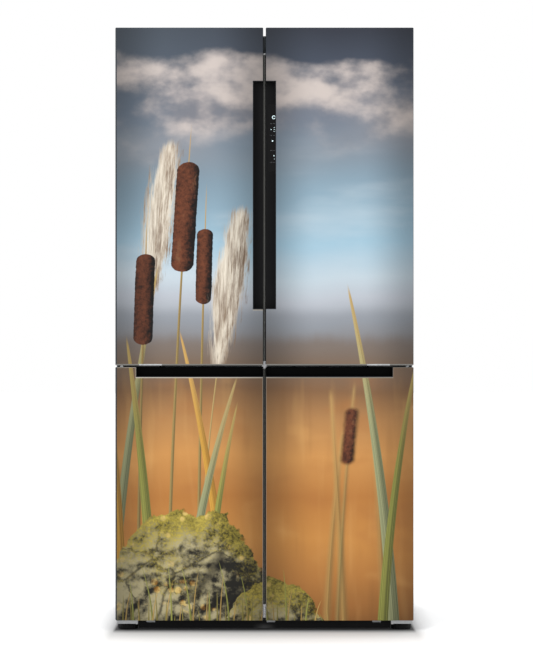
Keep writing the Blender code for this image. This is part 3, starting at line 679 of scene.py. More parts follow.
clear_plastic, at = finish("clear_plastic")
flow = at.noise(7, 3.0, 0.6)
scratch = at.noise(500, 3.0, 0.6, (0.06, 1, 1))
feed(clear_plastic, {
    "Base Color": flow.blend((214, 228, 234), (228, 238, 242)),
    "Roughness": 0.07 + scratch * 0.12,
    "Alpha": 0.24 + flow * 0.08,
    "IOR": 1.49,
    "Normal": (scratch * 0.3 + flow * 0.7).relief(0.0001),
})
frosted, at = finish("frosted_plastic")
grain = at.noise(1400)
cloudy = at.noise(9, 3.0, 0.6)
feed(frosted, {
    "Base Color": cloudy.blend((168, 184, 194), (186, 200, 208)),
    "Roughness": 0.34 + grain * 0.12,
    "Alpha": 0.66 + cloudy * 0.08,
    "Normal": grain.relief(0.00005),
})
front_deep, rim_below = 0.010, 0.012
for node in sorted(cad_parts):
    if node.startswith(("crisper_left", "crisper_right", "freezer_drawer")):
        low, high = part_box(node)
        front = drawer_front(low, high, front_deep)
        solid(f"{node}_front", front, frosted, stands_for=(node,), sharp=30)
        behind = tub((low.x + 0.002, low.y + front_deep + 0.0003, low.z),
                     (high.x - 0.002, high.y, high.z - rim_below), 0.0026, 0.014, 0.004)
        solid(f"{node}_tub", behind, clear_plastic)
        band = bar((low.x + 0.004, low.y - 0.0004, high.z - 0.0095),
                   (high.x - 0.004, low.y + 0.0003, high.z - 0.0040), 0.0003)
        solid(f"{node}_band", band, bright_band)


# Machine space ----------------------------------
# Behind the louvred zinc cover stand a black welded compressor on rubber feet and its copper pipe,
# on the steel base tray. The power inlet, with brass pins, is let into the cover.

for node, material in (("base_tray", zinc), ("machine_cover", zinc), ("power_inlet", black_plastic)):
    dress(node, material)
cover_low, cover_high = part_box("machine_cover")
cover_edge, cover_top, cover_inset = cover_high.x - 0.010, cover_high.z - 0.012, 0.130
cover_spots = [(x, cover_high.y, z) for x, z in (
    (cover_edge, cover_low.z + 0.016), (cover_edge, cover_top), (cover_inset, cover_top),
    (cover_inset, cover_low.z + 0.010))]
repeated("cover_screws", screw(0.0045), both_sides(cover_spots), zinc, to_rear, quarter, 5)

tray_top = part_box("base_tray")[1].z
pot_paint = marked("compressor_paint", (60, 4.0, 0.6), (18, 19, 20), (34, 35, 36), 0.0002,
                   {"Roughness": (0.3, 0.2), "Coat Weight": 0.3})
pot_x, pot_y, pot_z = 0.20, 0.288, tray_top + 0.012
pot = lathe([(0.022, 0.0), (0.046, 0.006), (0.060, 0.024), (0.0635, 0.050), (0.0635, 0.078),
             (0.0665, 0.080), (0.0665, 0.084), (0.0635, 0.086), (0.0620, 0.112), (0.052, 0.138),
             (0.034, 0.151), (0.010, 0.156)], (pot_x, pot_y, pot_z), steps=48)
solid("compressor", pot, pot_paint)
rubber_foot = lathe([(0.011, 0.0), (0.011, 0.004), (0.008, 0.006), (0.011, 0.009), (0.007, 0.016)], steps=20)
foot_places = [(pot_x + x, pot_y + y, tray_top + 0.0003) for x in (-0.045, 0.045) for y in (-0.038, 0.038)]
repeated("compressor_feet", rubber_foot, foot_places, black_plastic)


def pipe(points, radius):
    """A round pipe on a smooth curve through points, closed at both ends."""
    path = bpy.data.curves.new("pipe_path", "CURVE")
    path.dimensions = "3D"
    path.bevel_depth = radius
    path.bevel_resolution = 3
    path.use_fill_caps = True
    path.resolution_u = 8
    line = path.splines.new("NURBS")
    line.points.add(len(points) - 1)
    line.use_endpoint_u = True
    line.order_u = 4
    for knot, point in zip(line.points, points):
        knot.co = (*point, 1.0)
    mesh = plain(placed("pipe_path", path))
    bpy.data.curves.remove(path)
    shape = bmesh.new()
    shape.from_mesh(mesh)
    bpy.data.meshes.remove(mesh)
    bmesh.ops.remove_doubles(shape, verts=shape.verts, dist=1e-6)
    bmesh.ops.recalc_face_normals(shape, faces=shape.faces)
    return shape


copper = marked("copper_pipe", (70, 4.0, 0.65), (196, 118, 84), (142, 82, 60), 0.0001,
                {"Roughness": (0.25, 0.25), "Metallic": 1.0})
loops = [(pot_x - 0.052, pot_y + 0.02, pot_z + 0.10)]
for turn in range(6):
    across = pot_x - 0.10 - 0.045 * turn
    up = pot_z + (0.02 if turn % 2 else 0.15)
    loops += [(across, pot_y + 0.03, up), (across - 0.022, pot_y + 0.03, up)]
solid("copper_loops", pipe(loops, 0.0032), copper)

brass = marked("pin_brass", (400, 3.0), (200, 176, 120), (224, 204, 156), 0.00003,
               {"Roughness": (0.22, 0.1), "Metallic": 1.0})
inlet_low, inlet_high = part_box("power_inlet")
inlet = (inlet_low + inlet_high) / 2
pins = bmesh.new()
for x, z in ((inlet.x - 0.007, inlet.z - 0.002), (inlet.x, inlet.z + 0.0025),
             (inlet.x + 0.007, inlet.z - 0.002)):
    block((x - 0.0012, inlet_high.y - 0.0225, z - 0.0022), (x + 0.0012, inlet_high.y - 0.0078, z + 0.0022),
          0.0004, 2, pins)
solid("inlet_pins", pins, brass)


# Rollers, feet and plinth -----------------------
# Two nylon rollers turn on the tray's axles at the rear. At the front stand two black levelling
# feet with knurled rims, and a black plinth board with three light clips along its top edge. A paler
# patch low in the middle of the board is painted light, below the gap between the lower doors.

nylon, at = finish("roller_nylon")
grime = at.noise(160, 4.0, 0.7)
feed(nylon, {
    "Base Color": grime.fade(0.45, 0.8).blend((206, 204, 196), (150, 146, 138)),
    "Roughness": 0.4 + grime * 0.2,
    "Normal": grime.relief(0.0001),
})
bore, hub, rim_over, knurls, knurl_steps = 0.0042, 0.0075, 0.0018, 24, 96
for label, _ in SIDES:
    low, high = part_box(f"roller_{label}")
    half, _, radius = (high - low) / 2
    right_half = [(bore, half), (hub, half), (hub + 0.0005, half - 0.0015), (radius * 0.72, half - 0.0015),
                  (radius * 0.78, half), (radius - 0.002, half), (radius, half - 0.002)]
    left_half = [(r, -along) for r, along in right_half[::-1]]
    wheel = lathe(right_half + left_half, (low + high) / 2, "x", 48, True)
    solid(f"wheel_{label}", wheel, nylon, f"rear_roller_{label}", (f"roller_{label}",))
for label, _ in SIDES:
    low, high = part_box(f"foot_{label}")
    middle = (low + high) / 2
    radius = (high.x - low.x) / 2 + rim_over
    rings = []
    for share, up, knurl in ((0.80, 0.0, 0), (0.90, 0.0, 0), (0.96, 0.0015, 0), (0.975, 0.004, 0.022),
                             (0.975, 0.014, 0.022), (0.95, 0.0165, 0), (0.88, 0.018, 0), (0.44, 0.018, 0),
                             (0.42, 0.0195, 0), (0.26, 0.0195, 0), (0.26, high.z, 0)):
        ring = []
        for step, (x, y) in enumerate(round_points(knurl_steps)):
            wave = math.cos(knurls * 2 * math.pi * (step + 0.5) / knurl_steps)
            reach = radius * (share + knurl * wave)
            ring.append((middle.x + reach * x, middle.y + reach * y, up))
        rings.append(ring)
    solid(f"levelling_foot_{label}", loft(rings), black_plastic,
          stands_for=(f"foot_{label}",), sharp=30)

plinth_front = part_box("plinth")[0].y
plinth_black, at = finish("plinth_black")
across, _, upward = at.axes()
scuffed = at.noise(60, 4.0, 0.6)
# painted light: a paler patch at the bottom middle of the board, below the gap between the doors
mottle_and_painted_gap_light = abs(across).fade(0.040, 0.0) * upward.fade(0.022, 0.004)
feed(plinth_black, {
    "Base Color": mottle_and_painted_gap_light.blend(scuffed.blend((9, 9, 10), (22, 22, 23)), (78, 78, 78)),
    "Roughness": 0.42 + scuffed * 0.2,
    "Specular IOR Level": 0.14,
    "Normal": scuffed.relief(0.00004),
})
dress("plinth", plinth_black)
clip_grey = marked("clip_grey", (500,), (176, 180, 182), (190, 193, 195), 0.00004,
                   {"Roughness": (0.35, 0.1)})
clips = bmesh.new()
clip_half, clip_low, clip_high = 0.0131, 0.0210, 0.0272
for x in (-0.3466, 0.0197, 0.3420):
    block((x - clip_half, plinth_front - 0.0016, clip_low),
          (x + clip_half, plinth_front + 0.0004, clip_high), 0.0008, 2, clips)
solid("plinth_clips", clips, clip_grey)


# Hinges -----------------------------------------
# Steel plates with their pins, zinc-plated at the top and the bottom. The middle pair is coloured
# near-black as painted shade for the gap between the doors, with a painted highlight on each pin.
# The top pair hides under dark covers, each held by one screw. The middle pair is screwed to the
# cabinet's front between the doors, the bottom pair under it.

cover_grey, at = finish("hinge_cover")
settled = at.noise(30, 4.0, 0.65)
feed(cover_grey, {
    "Base Color": settled.blend((52, 55, 59), (64, 67, 70)),
    "Roughness": 0.44 + settled * 0.16,
    "Specular IOR Level": 0.4,
    "Normal": at.cells("SMOOTH_F1", 1300.0).relief(0.00006),
})
bracket_steel, at = finish("bracket_steel")
middle_low, middle_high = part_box("hinge_middle_right")
pin_x = middle_high.x - 0.0125
grain = at.noise(500, 3.0, 0.6)
# painted highlight on the pins; the rest of the plate is near-black as painted shade for the gap
pin = abs(abs(at.axes()[0]) - pin_x).fade(0.0048, 0.0038)
feed(bracket_steel, {
    "Base Color": pin.blend(grain.blend((15, 16, 17), (24, 25, 26)), (232, 234, 236)),
    "Roughness": 0.36 + grain * 0.14,
    "Metallic": 0.3 + pin * 0.2,
    "Normal": grain.relief(0.00004),
})
for label, _ in SIDES:
    for level, steel in (("top", zinc), ("middle", bracket_steel), ("bottom", zinc)):
        dress(f"hinge_{level}_{label}", steel)
    cover = f"hinge_cover_{label}"
    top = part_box(cover)[1].z
    shape = copied(cover, True)
    crown = [edge for edge in shape.edges if all(abs(vert.co.z - top) < 1e-5 for vert in edge.verts)]
    soften(shape, crown, 0.0016, 3)
    solid(f"hinge_cap_{label}", shape, cover_grey, stands_for=(cover,))

cap_low, cap_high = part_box("hinge_cover_right")
foot_low, foot_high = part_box("hinge_bottom_right")
bolt_z, screw_y = (middle_low.z + middle_high.z) / 2, foot_high.y - 0.014
cap_spots = [(cap_low.x + 0.022, cap_high.y - 0.020, cap_high.z - 0.0016)]
bolt_spots = [(middle_low.x + inward, middle_high.y - 0.003, bolt_z + up)
              for inward in (0.012, 0.055) for up in (0.0068, -0.0068)]
under_spots = [(x, screw_y, foot_low.z + 0.0055) for x in (foot_low.x + 0.012, foot_high.x - 0.014)]
for name, radius, spots, turn, seed in (("cap_screws", 0.0042, cap_spots, (0, 0, 0), 3),
                                        ("middle_hinge_screws", 0.0032, bolt_spots, (quarter, 0, 0), 7),
                                        ("bottom_hinge_screws", 0.0046, under_spots, (math.pi, 0, 0), 9)):
    repeated(name, screw(radius), both_sides(spots), zinc, turn, quarter, seed)
tabs = bmesh.new()
for side in (-1, 1):
    block((side * foot_low.x, foot_low.y, foot_low.z - 0.0018),
          (side * (foot_low.x + 0.007), foot_low.y + 0.0028, foot_low.z + 0.0004), 0.0006, 1, tabs)
solid("bottom_hinge_tabs", tabs, zinc)


# Door slabs -------------------------------------
# Four foamed doors in dark grey metallic paint. Their fronts stand a film's thickness back, to take
# the print. The upper ones end below in a mid-grey moulded cap that shows as a strip.

door_paint = marked("door_paint", (6, 4.0, 0.6), (34, 39, 44), (44, 49, 55), 0.00005,
                    {"Roughness": (0.30, 0.14), "Metallic": 0.55}, (800,))
cap_grey = marked("door_end_cap", (1100,), (88, 86, 82), (98, 96, 92), 0.00005, {"Roughness": (0.42, 0.1)})
film_thick, cap_tall, corner_cut, foot_drop = 0.0003, 0.0046, 0.0055, 0.0014
doors = [(level, side, f"{level}_{label}") for level in ("upper", "lower") for label, side in SIDES]
for level, side, label in doors:
    node = f"door_{label}"
    low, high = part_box(node)
    shape = copied(node)
    far = max(abs(low.x), abs(high.x)) - corner_cut
    for vert in shape.verts:
        vert.co.y = max(vert.co.y, low.y + film_thick)
        if vert.co.z < low.z + 0.0001:
            if level == "lower":
                vert.co.z = low.z - foot_drop
            elif abs(vert.co.x) > far:
                vert.co.x = side * far
    cap_top = low.z + cap_tall
    crown_low = high.z - cap_tall if level == "lower" else math.inf
    for seam in (cap_top, crown_low):
        if seam < high.z:
            bmesh.ops.bisect_plane(shape, geom=shape.verts[:] + shape.edges[:] + shape.faces[:], dist=1e-6,
                                   plane_co=(0, 0, seam), plane_no=(0, 0, 1))
    for face in shape.faces:
        face.material_index = 0 if cap_top <= face.calc_center_median().z <= crown_low else 1
    slab = solid(f"{label}_slab", shape, door_paint, f"{label}_door", (node,))
    slab.data.materials.append(cap_grey if level == "upper" else door_paint)


# Door seals -------------------------------------
# A soft grey bellows runs round the back of each door with mitred corners: a foot pressed into the
# door, two folds, and the flat hollow that holds the magnet against the cabinet.

seal_grey = marked("seal_grey", (120, 4.0, 0.65), (74, 76, 78), (96, 98, 99), 0.00015,
                   {"Roughness": (0.55, 0.2), "Specular IOR Level": 0.3})
seal_wide, seal_deep = 0.014, 0.0114
outer_half = [(0.0010, 0.0), (0.0010, 0.0016), (0.0045, 0.0022), (0.0032, 0.0032), (0.0030, 0.0042),
              (0.0036, 0.0052), (0.0050, 0.0060), (0.0014, 0.0071), (0.0006, 0.0080), (0.0004, 0.0094),
              (0.0008, 0.0108), (0.0016, 0.0113)]
seal_section = outer_half + [(seal_wide - u, v) for u, v in outer_half[::-1]]
for *_, label in doors:
    low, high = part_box(f"gasket_{label}")
    deep = (high.y - low.y) / seal_deep
    rings = [[(x + u * dx, low.y + v * deep, z + u * dz) for u, v in seal_section] for x, z, dx, dz in (
        (low.x, low.z, 1, 1), (high.x, low.z, -1, 1), (high.x, high.z, -1, -1), (low.x, high.z, 1, -1))]
    solid(f"seal_{label}", loft(rings, True), seal_grey, f"{label}_door", (f"gasket_{label}",), 50)


# Door liners and bins ---------------------------
# The inner panels are the same glossy white plastic as the liners, with a raised ring. The upper
# ones hold three clear bins each, with drafted walls, a bright band and lugs at their ends.

for *_, label in doors:
    smoothed(f"inner_panel_{label}", f"door_liner_{label}", liner_white, f"{label}_door")
for label, _ in SIDES:
    for number in (1, 2, 3):
        body, node = f"upper_{label}_door", f"bin_{label}_{number}"
        low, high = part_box(node)
        clear_bin = tub(low, high, 0.0024, 0.010, 0.003)
        solid(f"{node}_tub", clear_bin, clear_plastic, body, (node,))
        band = bar((low.x + 0.012, high.y - 0.0008, high.z - 0.016),
                   (high.x - 0.012, high.y + 0.0010, high.z - 0.006), 0.0008)
        solid(f"{node}_band", band, bright_band, body)
        lugs = bmesh.new()
        for end, outward in ((low.x, -1), (high.x, 1)):
            block((end + outward * 0.0004, low.y + 0.010, low.z + 0.030),
                  (end - outward * 0.0018, low.y + 0.030, low.z + 0.070), 0.0008, 2, lugs)
        solid(f"{node}_lugs", lugs, frosted, body)


# Printed film -----------------------------------
# One satin printed film covers the four door fronts: slate sky, soft cloud and haze over a golden
# field, and close by mossy rocks with bulrushes, plumes and broad leaves. Its colour is darkened
# towards each front's upright edges as painted shade. Light cream strips, painted highlight for the
# light that the door edges catch, finish it at the lower doors' tops, free edges and finger recesses,
# and below the left-hand upright grip; they are darker towards the right as painted shade.

print_film, at = finish("printed_film")
across, _, upward = at.axes()


def spot(right=0.0, up=0.0, wander=0.0):
    """The place on the picture, moved by set distances and by a wandering wire."""
    return at.node("CombineXYZ", None, {"X": across + right + wander, "Y": upward + up + wander})


flat = spot()
drift = flat.noise(1.5)
level_line = (upward + (drift - 0.5) * 0.12) / cad_box[1].z
colour = level_line.node("ValToRGB", {"stops": [
    (0.00, (130, 86, 44)), (0.08, (168, 113, 57)), (0.15, (186, 129, 65)), (0.22, (170, 113, 56)),
    (0.29, (190, 136, 76)), (0.35, (166, 121, 74)), (0.40, (122, 90, 62)), (0.445, (116, 98, 84)),
    (0.48, (126, 118, 112)), (0.512, (144, 149, 155)), (0.55, (170, 175, 183)), (0.585, (176, 190, 199)),
    (0.64, (147, 178, 195)), (0.70, (133, 160, 176)), (0.78, (116, 133, 146)), (0.85, (92, 103, 119)),
    (0.92, (66, 74, 88)), (1.00, (46, 50, 60))]}, {"Fac": level_line})

# Clouds: soft banks lit from above by comparing each place with one below and to the left of it.
mass = flat.noise(1.9, 1.0, 0.5, (1.0, 1.5, 1.0))
puff = spot(4.1, 0.3).noise(3.9, 6.0, 0.50, (1.0, 1.35, 1.0))
puff_beside = spot(4.082, 0.262).noise(3.9, 4.0, 0.48, (1.0, 1.35, 1.0))
bank = upward.fade(1.32, 1.56) * upward.fade(1.80, 1.69)
thins_out = upward.fade(1.64, 1.36) * 0.55 + 0.26
cover = ((puff + mass * 0.6 + bank * 0.38 - 0.96) / thins_out).fade(0.0, 1.0)
cover = cover * upward.fade(1.28, 1.46) * upward.fade(1.84, 1.75)
lit = ((puff - puff_beside) * 4.6 + upward * 1.5 - 1.88).fade(-0.05, 1.0)
dusk = across.fade(0.20, -0.45) * upward.fade(1.10, 1.36)
colour = (dusk * 0.34).blend(colour, (92, 104, 114))
mist = upward.fade(1.66, 1.54) * upward.fade(1.34, 1.50) * mass.fade(0.30, 0.60)
colour = (mist * 0.55).blend(colour, (140, 139, 143))
colour = (cover * 0.95).blend(colour, lit.blend((112, 113, 120), (190, 179, 173)))
wisp = flat.noise(2.6, 4.0, 0.55, (0.6, 2.4, 1.0)).fade(0.46, 0.74)
veil = wisp * upward.fade(1.56, 1.30) * upward.fade(0.94, 1.10)
colour = (veil * 0.30).blend(colour, (196, 203, 208))

# Far hills and a low line of trees, both soft with distance.
ridge = flat.noise(2.6, 3.0, 0.5, (1.0, 0.0, 1.0))
hills = (upward - ridge * 0.10).fade(0.945, 0.900)
colour = (hills * upward.fade(0.80, 0.88) * 0.45).blend(colour, (118, 122, 130))
crowns = flat.noise(9.0, 4.0, 0.6, (1.0, 0.0, 1.0))
trees = (upward - crowns * 0.06).fade(0.880, 0.830)
colour = (trees * upward.fade(0.72, 0.83) * 0.55).blend(colour, (108, 90, 74))

# The field: broad soft blotches, and upright strokes of grass that are out of focus.
ground = upward.fade(0.84, 0.70)
blotch = flat.noise(3.4, 3.0, 0.55, (0.8, 1.4, 1.0))
colour = (ground * blotch.fade(0.48, 0.30) * 0.55).blend(colour, (160, 104, 54))
colour = (ground * blotch.fade(0.54, 0.74) * 0.50).blend(colour, (214, 162, 96))
strokes = flat.noise(20.0, 2.0, 0.5, (1.0, 0.12, 1.0))
colour = (ground * strokes.fade(0.52, 0.74) * 0.14).blend(colour, (224, 178, 112))
colour = (ground * strokes.fade(0.46, 0.26) * 0.16).blend(colour, (116, 76, 40))


def blades(below, pitch, tallest, lean, shift, thin, dark, light, bare, full):
    """A row of slender curved blades, one to a pitch, each with its own height, tilt and tint. They
    are at their tallest to the left of full, and there are none to the right of bare."""
    cell = (across + upward * upward * lean + shift) / pitch
    number = cell.math("FLOOR")
    chance = number.node("TexWhiteNoise", {"noise_dimensions": "1D"}, {"W": number + shift * 10})
    second = number.node("TexWhiteNoise", {"noise_dimensions": "1D"}, {"W": number + shift * 10 + 51.7})
    top = (chance * 0.6 + 0.4) * tallest * across.fade(bare, full)
    climb = (upward / (top + 0.001)).math("MINIMUM", 1.0)
    inside = cell - number - 0.5 + (second - 0.5) * 0.84 * climb * climb
    width = (1 - climb).math("POWER", 0.8) * thin + 0.002
    mask = (abs(inside) - width).fade(thin * 0.3, thin * -0.3) * (top - upward).fade(0.0, 0.02)
    tint = ((inside / (width + 0.01)).fade(-1.0, 1.0) * 0.6 + second * 0.4).blend(light, dark)
    return mask.blend(below, (climb * 0.5).blend(tint, light))


def stalk(root, top, lean, bend):
    """How far a point is to the right of a curved stem, and how far up it, 0 to 1."""
    climb = (upward - STEM_FOOT) / (top - STEM_FOOT)
    return across - (root + climb * lean + climb * climb * bend), climb


def leaf(below, root, top, lean, bend, half, dark, light, blur=0.0011):
    """A stem or a long folded leaf, from the foot of the picture to a point, straw-coloured at its tip."""
    aside, climb = stalk(root, top, lean, bend)
    width = (1 - climb).math("MAXIMUM", 0.0).math("POWER", 0.55) * half
    ratio = aside / (width + 0.0001)
    mask = (abs(aside) - width).fade(blur, -blur) * climb.fade(1.0, 0.96)
    along = ratio * 2.6 + climb * 2.4 + root * 40
    veins = at.node("TexNoise", {"noise_dimensions": "1D"},
                    {"W": along, "Scale": 2.6, "Detail": 5.0, "Roughness": 0.65})
    fold = ratio.fade(-0.25, 0.3) * 0.42 + ratio.fade(-1.3, 1.1) * 0.18
    tint = (veins.fade(0.28, 0.72) * 0.62 + 0.26 - fold * 0.7 + 0.12).blend(dark, light)
    straw = (climb + (veins - 0.5) * 0.5).fade(0.62, 1.0) * 0.7
    return mask.blend(below, straw.blend(tint, (190, 156, 98)))


STEM_FOOT = -0.2  # stems and leaves start below the picture
nap = flat.noise(84.0, 5.0, 0.75)
mottle_and_painted_gap_light = flat.noise(20.0, 5.0, 0.65, (1.0, 0.45, 1.0))


def bulrush(below, root, low, top, lean, bend, half, stem_top, blur=0.0009):
    """A brown seed head on its stem: a long velvety capsule, lit on its left, with a bare spike above."""
    below = leaf(below, root, stem_top, lean, bend, 0.0062, (78, 64, 36), (170, 146, 90), blur)
    aside, _ = stalk(root, stem_top, lean, bend)
    over = (abs(upward - (low + top) / 2) - (top - low) / 2 + half).math("MAXIMUM", 0.0)
    distance = (aside * aside + over * over * 1.8).math("SQRT")
    mask = (distance + (nap - 0.5) * 0.006 + (mottle_and_painted_gap_light - 0.5) * 0.006).fade(half + blur, half - blur)
    off_light = aside / half + 0.30
    lit = 0.72 - off_light * off_light * 0.62 + (nap - 0.5) * 2.0 + (mottle_and_painted_gap_light - 0.5) * 1.2
    brown = lit.fade(-0.12, 1.15).blend((10, 5, 4), (106, 58, 36))
    return mask.blend(below, mottle_and_painted_gap_light.fade(0.58, 0.74).blend(brown, (116, 80, 54)))


def plume(below, root, low, top, lean, bend, half):
    """A cream seed plume: fine hairs that sweep up and outwards, thin and wispy at its edges."""
    below = leaf(below, root, top, lean, bend, 0.0036, (112, 90, 50), (196, 172, 116))
    aside, _ = stalk(root, top, lean, bend)
    climb = ((upward - low) / (top - low)).math("MAXIMUM", 0.0).math("MINIMUM", 1.0)
    body = climb.math("POWER", 0.75) * (1 - climb).math("POWER", 0.62) * half * 1.9
    hair = at.node("CombineXYZ", None,
                   {"X": aside + upward * 0.10, "Y": upward * 0.5 - abs(aside) * 1.1, "Z": root})
    wisps = hair.noise(210.0, 5.0, 0.72, (1.0, 0.13, 1.0))
    tufts = hair.noise(46.0, 4.0, 0.65, (1.0, 0.34, 1.0))
    edge = abs(aside) + (wisps - 0.5) * 0.085 + (tufts - 0.5) * 0.065
    mask = (edge - body).fade(0.010, -0.012) * climb.fade(0.0, 0.04) * climb.fade(1.0, 0.93)
    lit = wisps.fade(0.26, 0.74) * 0.56 + tufts.fade(0.30, 0.70) * 0.46
    lit = lit + (aside / half).fade(1.2, -0.8) * 0.20
    return (mask * 0.96).blend(below, lit.fade(0.10, 1.08).blend((112, 88, 66), (228, 218, 200)))


def rock(below, middle, foot, wide, high, shift):
    """A weathered rock lit from the upper left: cracks, moss on its crown, and spots of lichen."""
    out_x, out_z = (across - middle) / wide, (upward - foot) / high
    lumps = spot(shift).noise(6.5, 6.0, 0.58)
    lumps_below = spot(shift + 0.010, -0.013).noise(6.5, 6.0, 0.58)
    out = out_x * out_x + out_z * out_z + (lumps - 0.5) * 0.9
    dome = (1 - out).math("MAXIMUM", 0.0).math("SQRT")
    lit = out_z * 0.50 - out_x * 0.34 + dome * 0.26 + (lumps - lumps_below) * 7.5 + 0.02
    stone = lit.fade(0.0, 0.95).blend((30, 28, 22), (172, 162, 126))
    crack = spot(shift, 0.0, lumps * 0.16).cells("DISTANCE_TO_EDGE", 8.0).fade(0.05, 0.0)
    stone = (crack * 0.75).blend(stone, (22, 18, 14))
    fuzz = flat.noise(130.0, 4.0, 0.7)
    moss = (out_z * 0.9 + lumps * 1.6 + (fuzz - 0.5) * 0.8).fade(1.15, 1.60)
    green = (fuzz.fade(0.3, 0.7) * 0.6 + lit * 0.4).blend((52, 48, 16), (178, 160, 62))
    stone = (moss * 0.92).blend(stone, green)
    lichen = (flat.cells("F1", 30.0) + (fuzz - 0.5) * 0.4).fade(0.36, 0.24) * lumps.fade(0.46, 0.58)
    stone = (lichen * 0.8).blend(stone, lit.fade(0.0, 0.8).blend((146, 98, 30), (214, 184, 110)))
    return out.fade(1.012, 0.988).blend(below, stone)


# The plants and rocks, from the farthest to the nearest. A leaf's colours are those of its folds.
far_bronze = (104, 78, 42), (186, 148, 86)
moss = (66, 70, 34), (164, 164, 82)
ochre = (108, 74, 28), (218, 166, 70)
sage = (70, 76, 52), (170, 172, 128)
for grow, *measures in (
        (leaf, 0.18, 0.62, 0.02, 0.04, 0.012, *far_bronze, 0.010),
        (leaf, 0.25, 0.74, -0.03, -0.02, 0.012, *far_bronze, 0.010),
        (leaf, 0.36, 0.56, 0.02, -0.05, 0.012, *far_bronze, 0.010),
        (bulrush, 0.215, 0.500, 0.680, 0.02, 0.04, 0.020, 0.76, 0.009),
        (plume, -0.470, 0.98, 1.50, 0.10, 0.09, 0.062),
        (bulrush, -0.205, 0.985, 1.225, 0.01, 0.02, 0.0240, 1.37),
        (leaf, -0.480, 1.12, 0.06, 0.10, 0.018, *sage),
        (plume, -0.215, 0.78, 1.30, 0.03, 0.12, 0.064),
        (leaf, -0.100, 0.92, -0.04, -0.12, 0.019, *ochre),
        (bulrush, -0.385, 0.860, 1.150, 0.00, 0.03, 0.0290, 1.27),
        (leaf, -0.330, 0.90, -0.02, -0.07, 0.021, *moss),
        (bulrush, -0.300, 1.080, 1.430, 0.03, 0.05, 0.0340, 1.55),
        (leaf, -0.270, 0.78, 0.07, 0.12, 0.020, *sage),
        (leaf, -0.430, 0.74, 0.01, -0.05, 0.018, *ochre),
        (leaf, -0.190, 0.70, 0.02, 0.09, 0.016, *moss),
        (leaf, 0.400, 1.06, -0.03, -0.12, 0.021, *sage),
        (leaf, 0.350, 0.86, 0.02, 0.10, 0.018, *moss),
        (rock, -0.235, -0.02, 0.270, 0.40, 1.3),
        (rock, 0.030, -0.10, 0.170, 0.26, 5.1),
        (blades, 0.058, 0.25, 0.50, 0.31, 0.052, *moss, 0.30, -0.02),
        (blades, 0.041, 0.19, -0.70, 0.77, 0.060, (96, 80, 40), (198, 164, 96), 0.42, -0.05),
        (blades, 0.026, 0.13, 0.40, 0.13, 0.100, (62, 58, 26), (150, 138, 70), 0.30, -0.08)):
    colour = grow(colour, *measures)

# The colour is darkened towards both upright edges of each front as painted shade, and the ink has
# a fine grain.
inset = abs(across)
shade = inset.math("MINIMUM", cad_box[1].x - inset).fade(-0.012, 0.165) * 0.54 + 0.46
grey = shade * (flat.noise(900) * 0.06 + 0.97) * 0.82
shading = at.node("CombineColor", None, {"Red": grey, "Green": grey, "Blue": grey})
rubbed = at.noise(7, 4.0, 0.6)
# the print, darkened towards the edges by the painted shade
printed = at.node("Mix", {"data_type": "RGBA", "blend_type": "MULTIPLY"},
                  {"Factor": 1.0, "A": colour, "B": shading})
feed(print_film, {
    "Base Color": printed,
    "Roughness": 0.44 + rubbed * 0.10,
    "Specular IOR Level": 0.16,
    "Normal": at.noise(1500).relief(0.00003),
})

# painted highlight: light cream strips along the film's edges stand for the light that the door edges catch,
# darker towards the right as painted shade
painted_edge_highlight, at = finish("painted_edge_highlight")
mottle = at.noise(500)
painted_shade_rightward = at.axes()[0].fade(-0.15, 0.08)
feed(painted_edge_highlight, {
    "Base Color": painted_shade_rightward.blend(mottle.blend((150, 143, 131), (160, 153, 141)), (106, 98, 86)),
    "Roughness": 0.36 + mottle * 0.1,
    "Normal": mottle.relief(0.00003),
})
film_edge, highlight_wide, sill_highlight, grip_highlight = 0.0009, 0.0008, 0.0026, 0.0036
left_return = 0.0045  # bare door paint along the outer edge of the left-hand doors
recess_deep, opening_wide = 0.0288, 0.0305
pivot_near, pivot_far = 0.311, 0.3806
# the strips listed in beads are painted highlight along the film's edges
for level, side, label in doors:
    body = f"{label}_door"
    low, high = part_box(f"door_{label}")
    grip_low, grip_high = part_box(f"grip_{label}")
    front, back = low.y, low.y + film_thick - 0.00005
    inner, outer = sorted((abs(low.x), abs(high.x)))
    near, far = inner + film_edge, outer - (left_return if side < 0 else film_edge)
    top = high.z - film_edge
    if level == "upper":
        bottom, ceiling = low.z + cap_tall, grip_high.z + film_edge
        opening, sill = near + opening_wide, grip_low.z - film_edge - (grip_highlight if side < 0 else 0)
        outline = [(near, bottom), (far, bottom), (far, top), (near, top),
                   (near, ceiling), (opening, ceiling), (opening, sill), (near, sill)]
        beads = [(near, sill, opening, sill + grip_highlight - 0.0012)] if side < 0 else []
    else:
        bottom, ceiling, sill = low.z + 0.0002 - foot_drop, top - highlight_wide, top - recess_deep - film_edge
        end, inside = max(abs(grip_low.x), abs(grip_high.x)) + film_edge + highlight_wide, near + highlight_wide
        outline = [(inside, bottom), (far, bottom), (far, ceiling), (end, ceiling), (end, sill - sill_highlight),
                   (inside, sill - sill_highlight)]
        beads = [(near, bottom, inside, sill), (inside, sill - sill_highlight, end, sill),
                 (end - highlight_wide, sill, end, top), (end, ceiling, far, top)]
    film = loft([[(side * x, y, z) for x, z in outline] for y in (front, back)])
    solid(f"film_{label}", film, print_film, body, sharp=20)
    if level == "upper":
        plate = block((side * pivot_near, front, low.z + 0.0003), (side * pivot_far, back, bottom - 0.0001))
        solid(f"pivot_plate_{label}", plate, zinc, body)
    # the strips of painted highlight
    bead = bmesh.new()
    for x, z, far_x, far_z in beads:
        block((side * x, front, z), (side * far_x, back, far_z), shape=bead)
    if beads:
        solid(f"film_bead_{label}", bead, painted_edge_highlight, body)


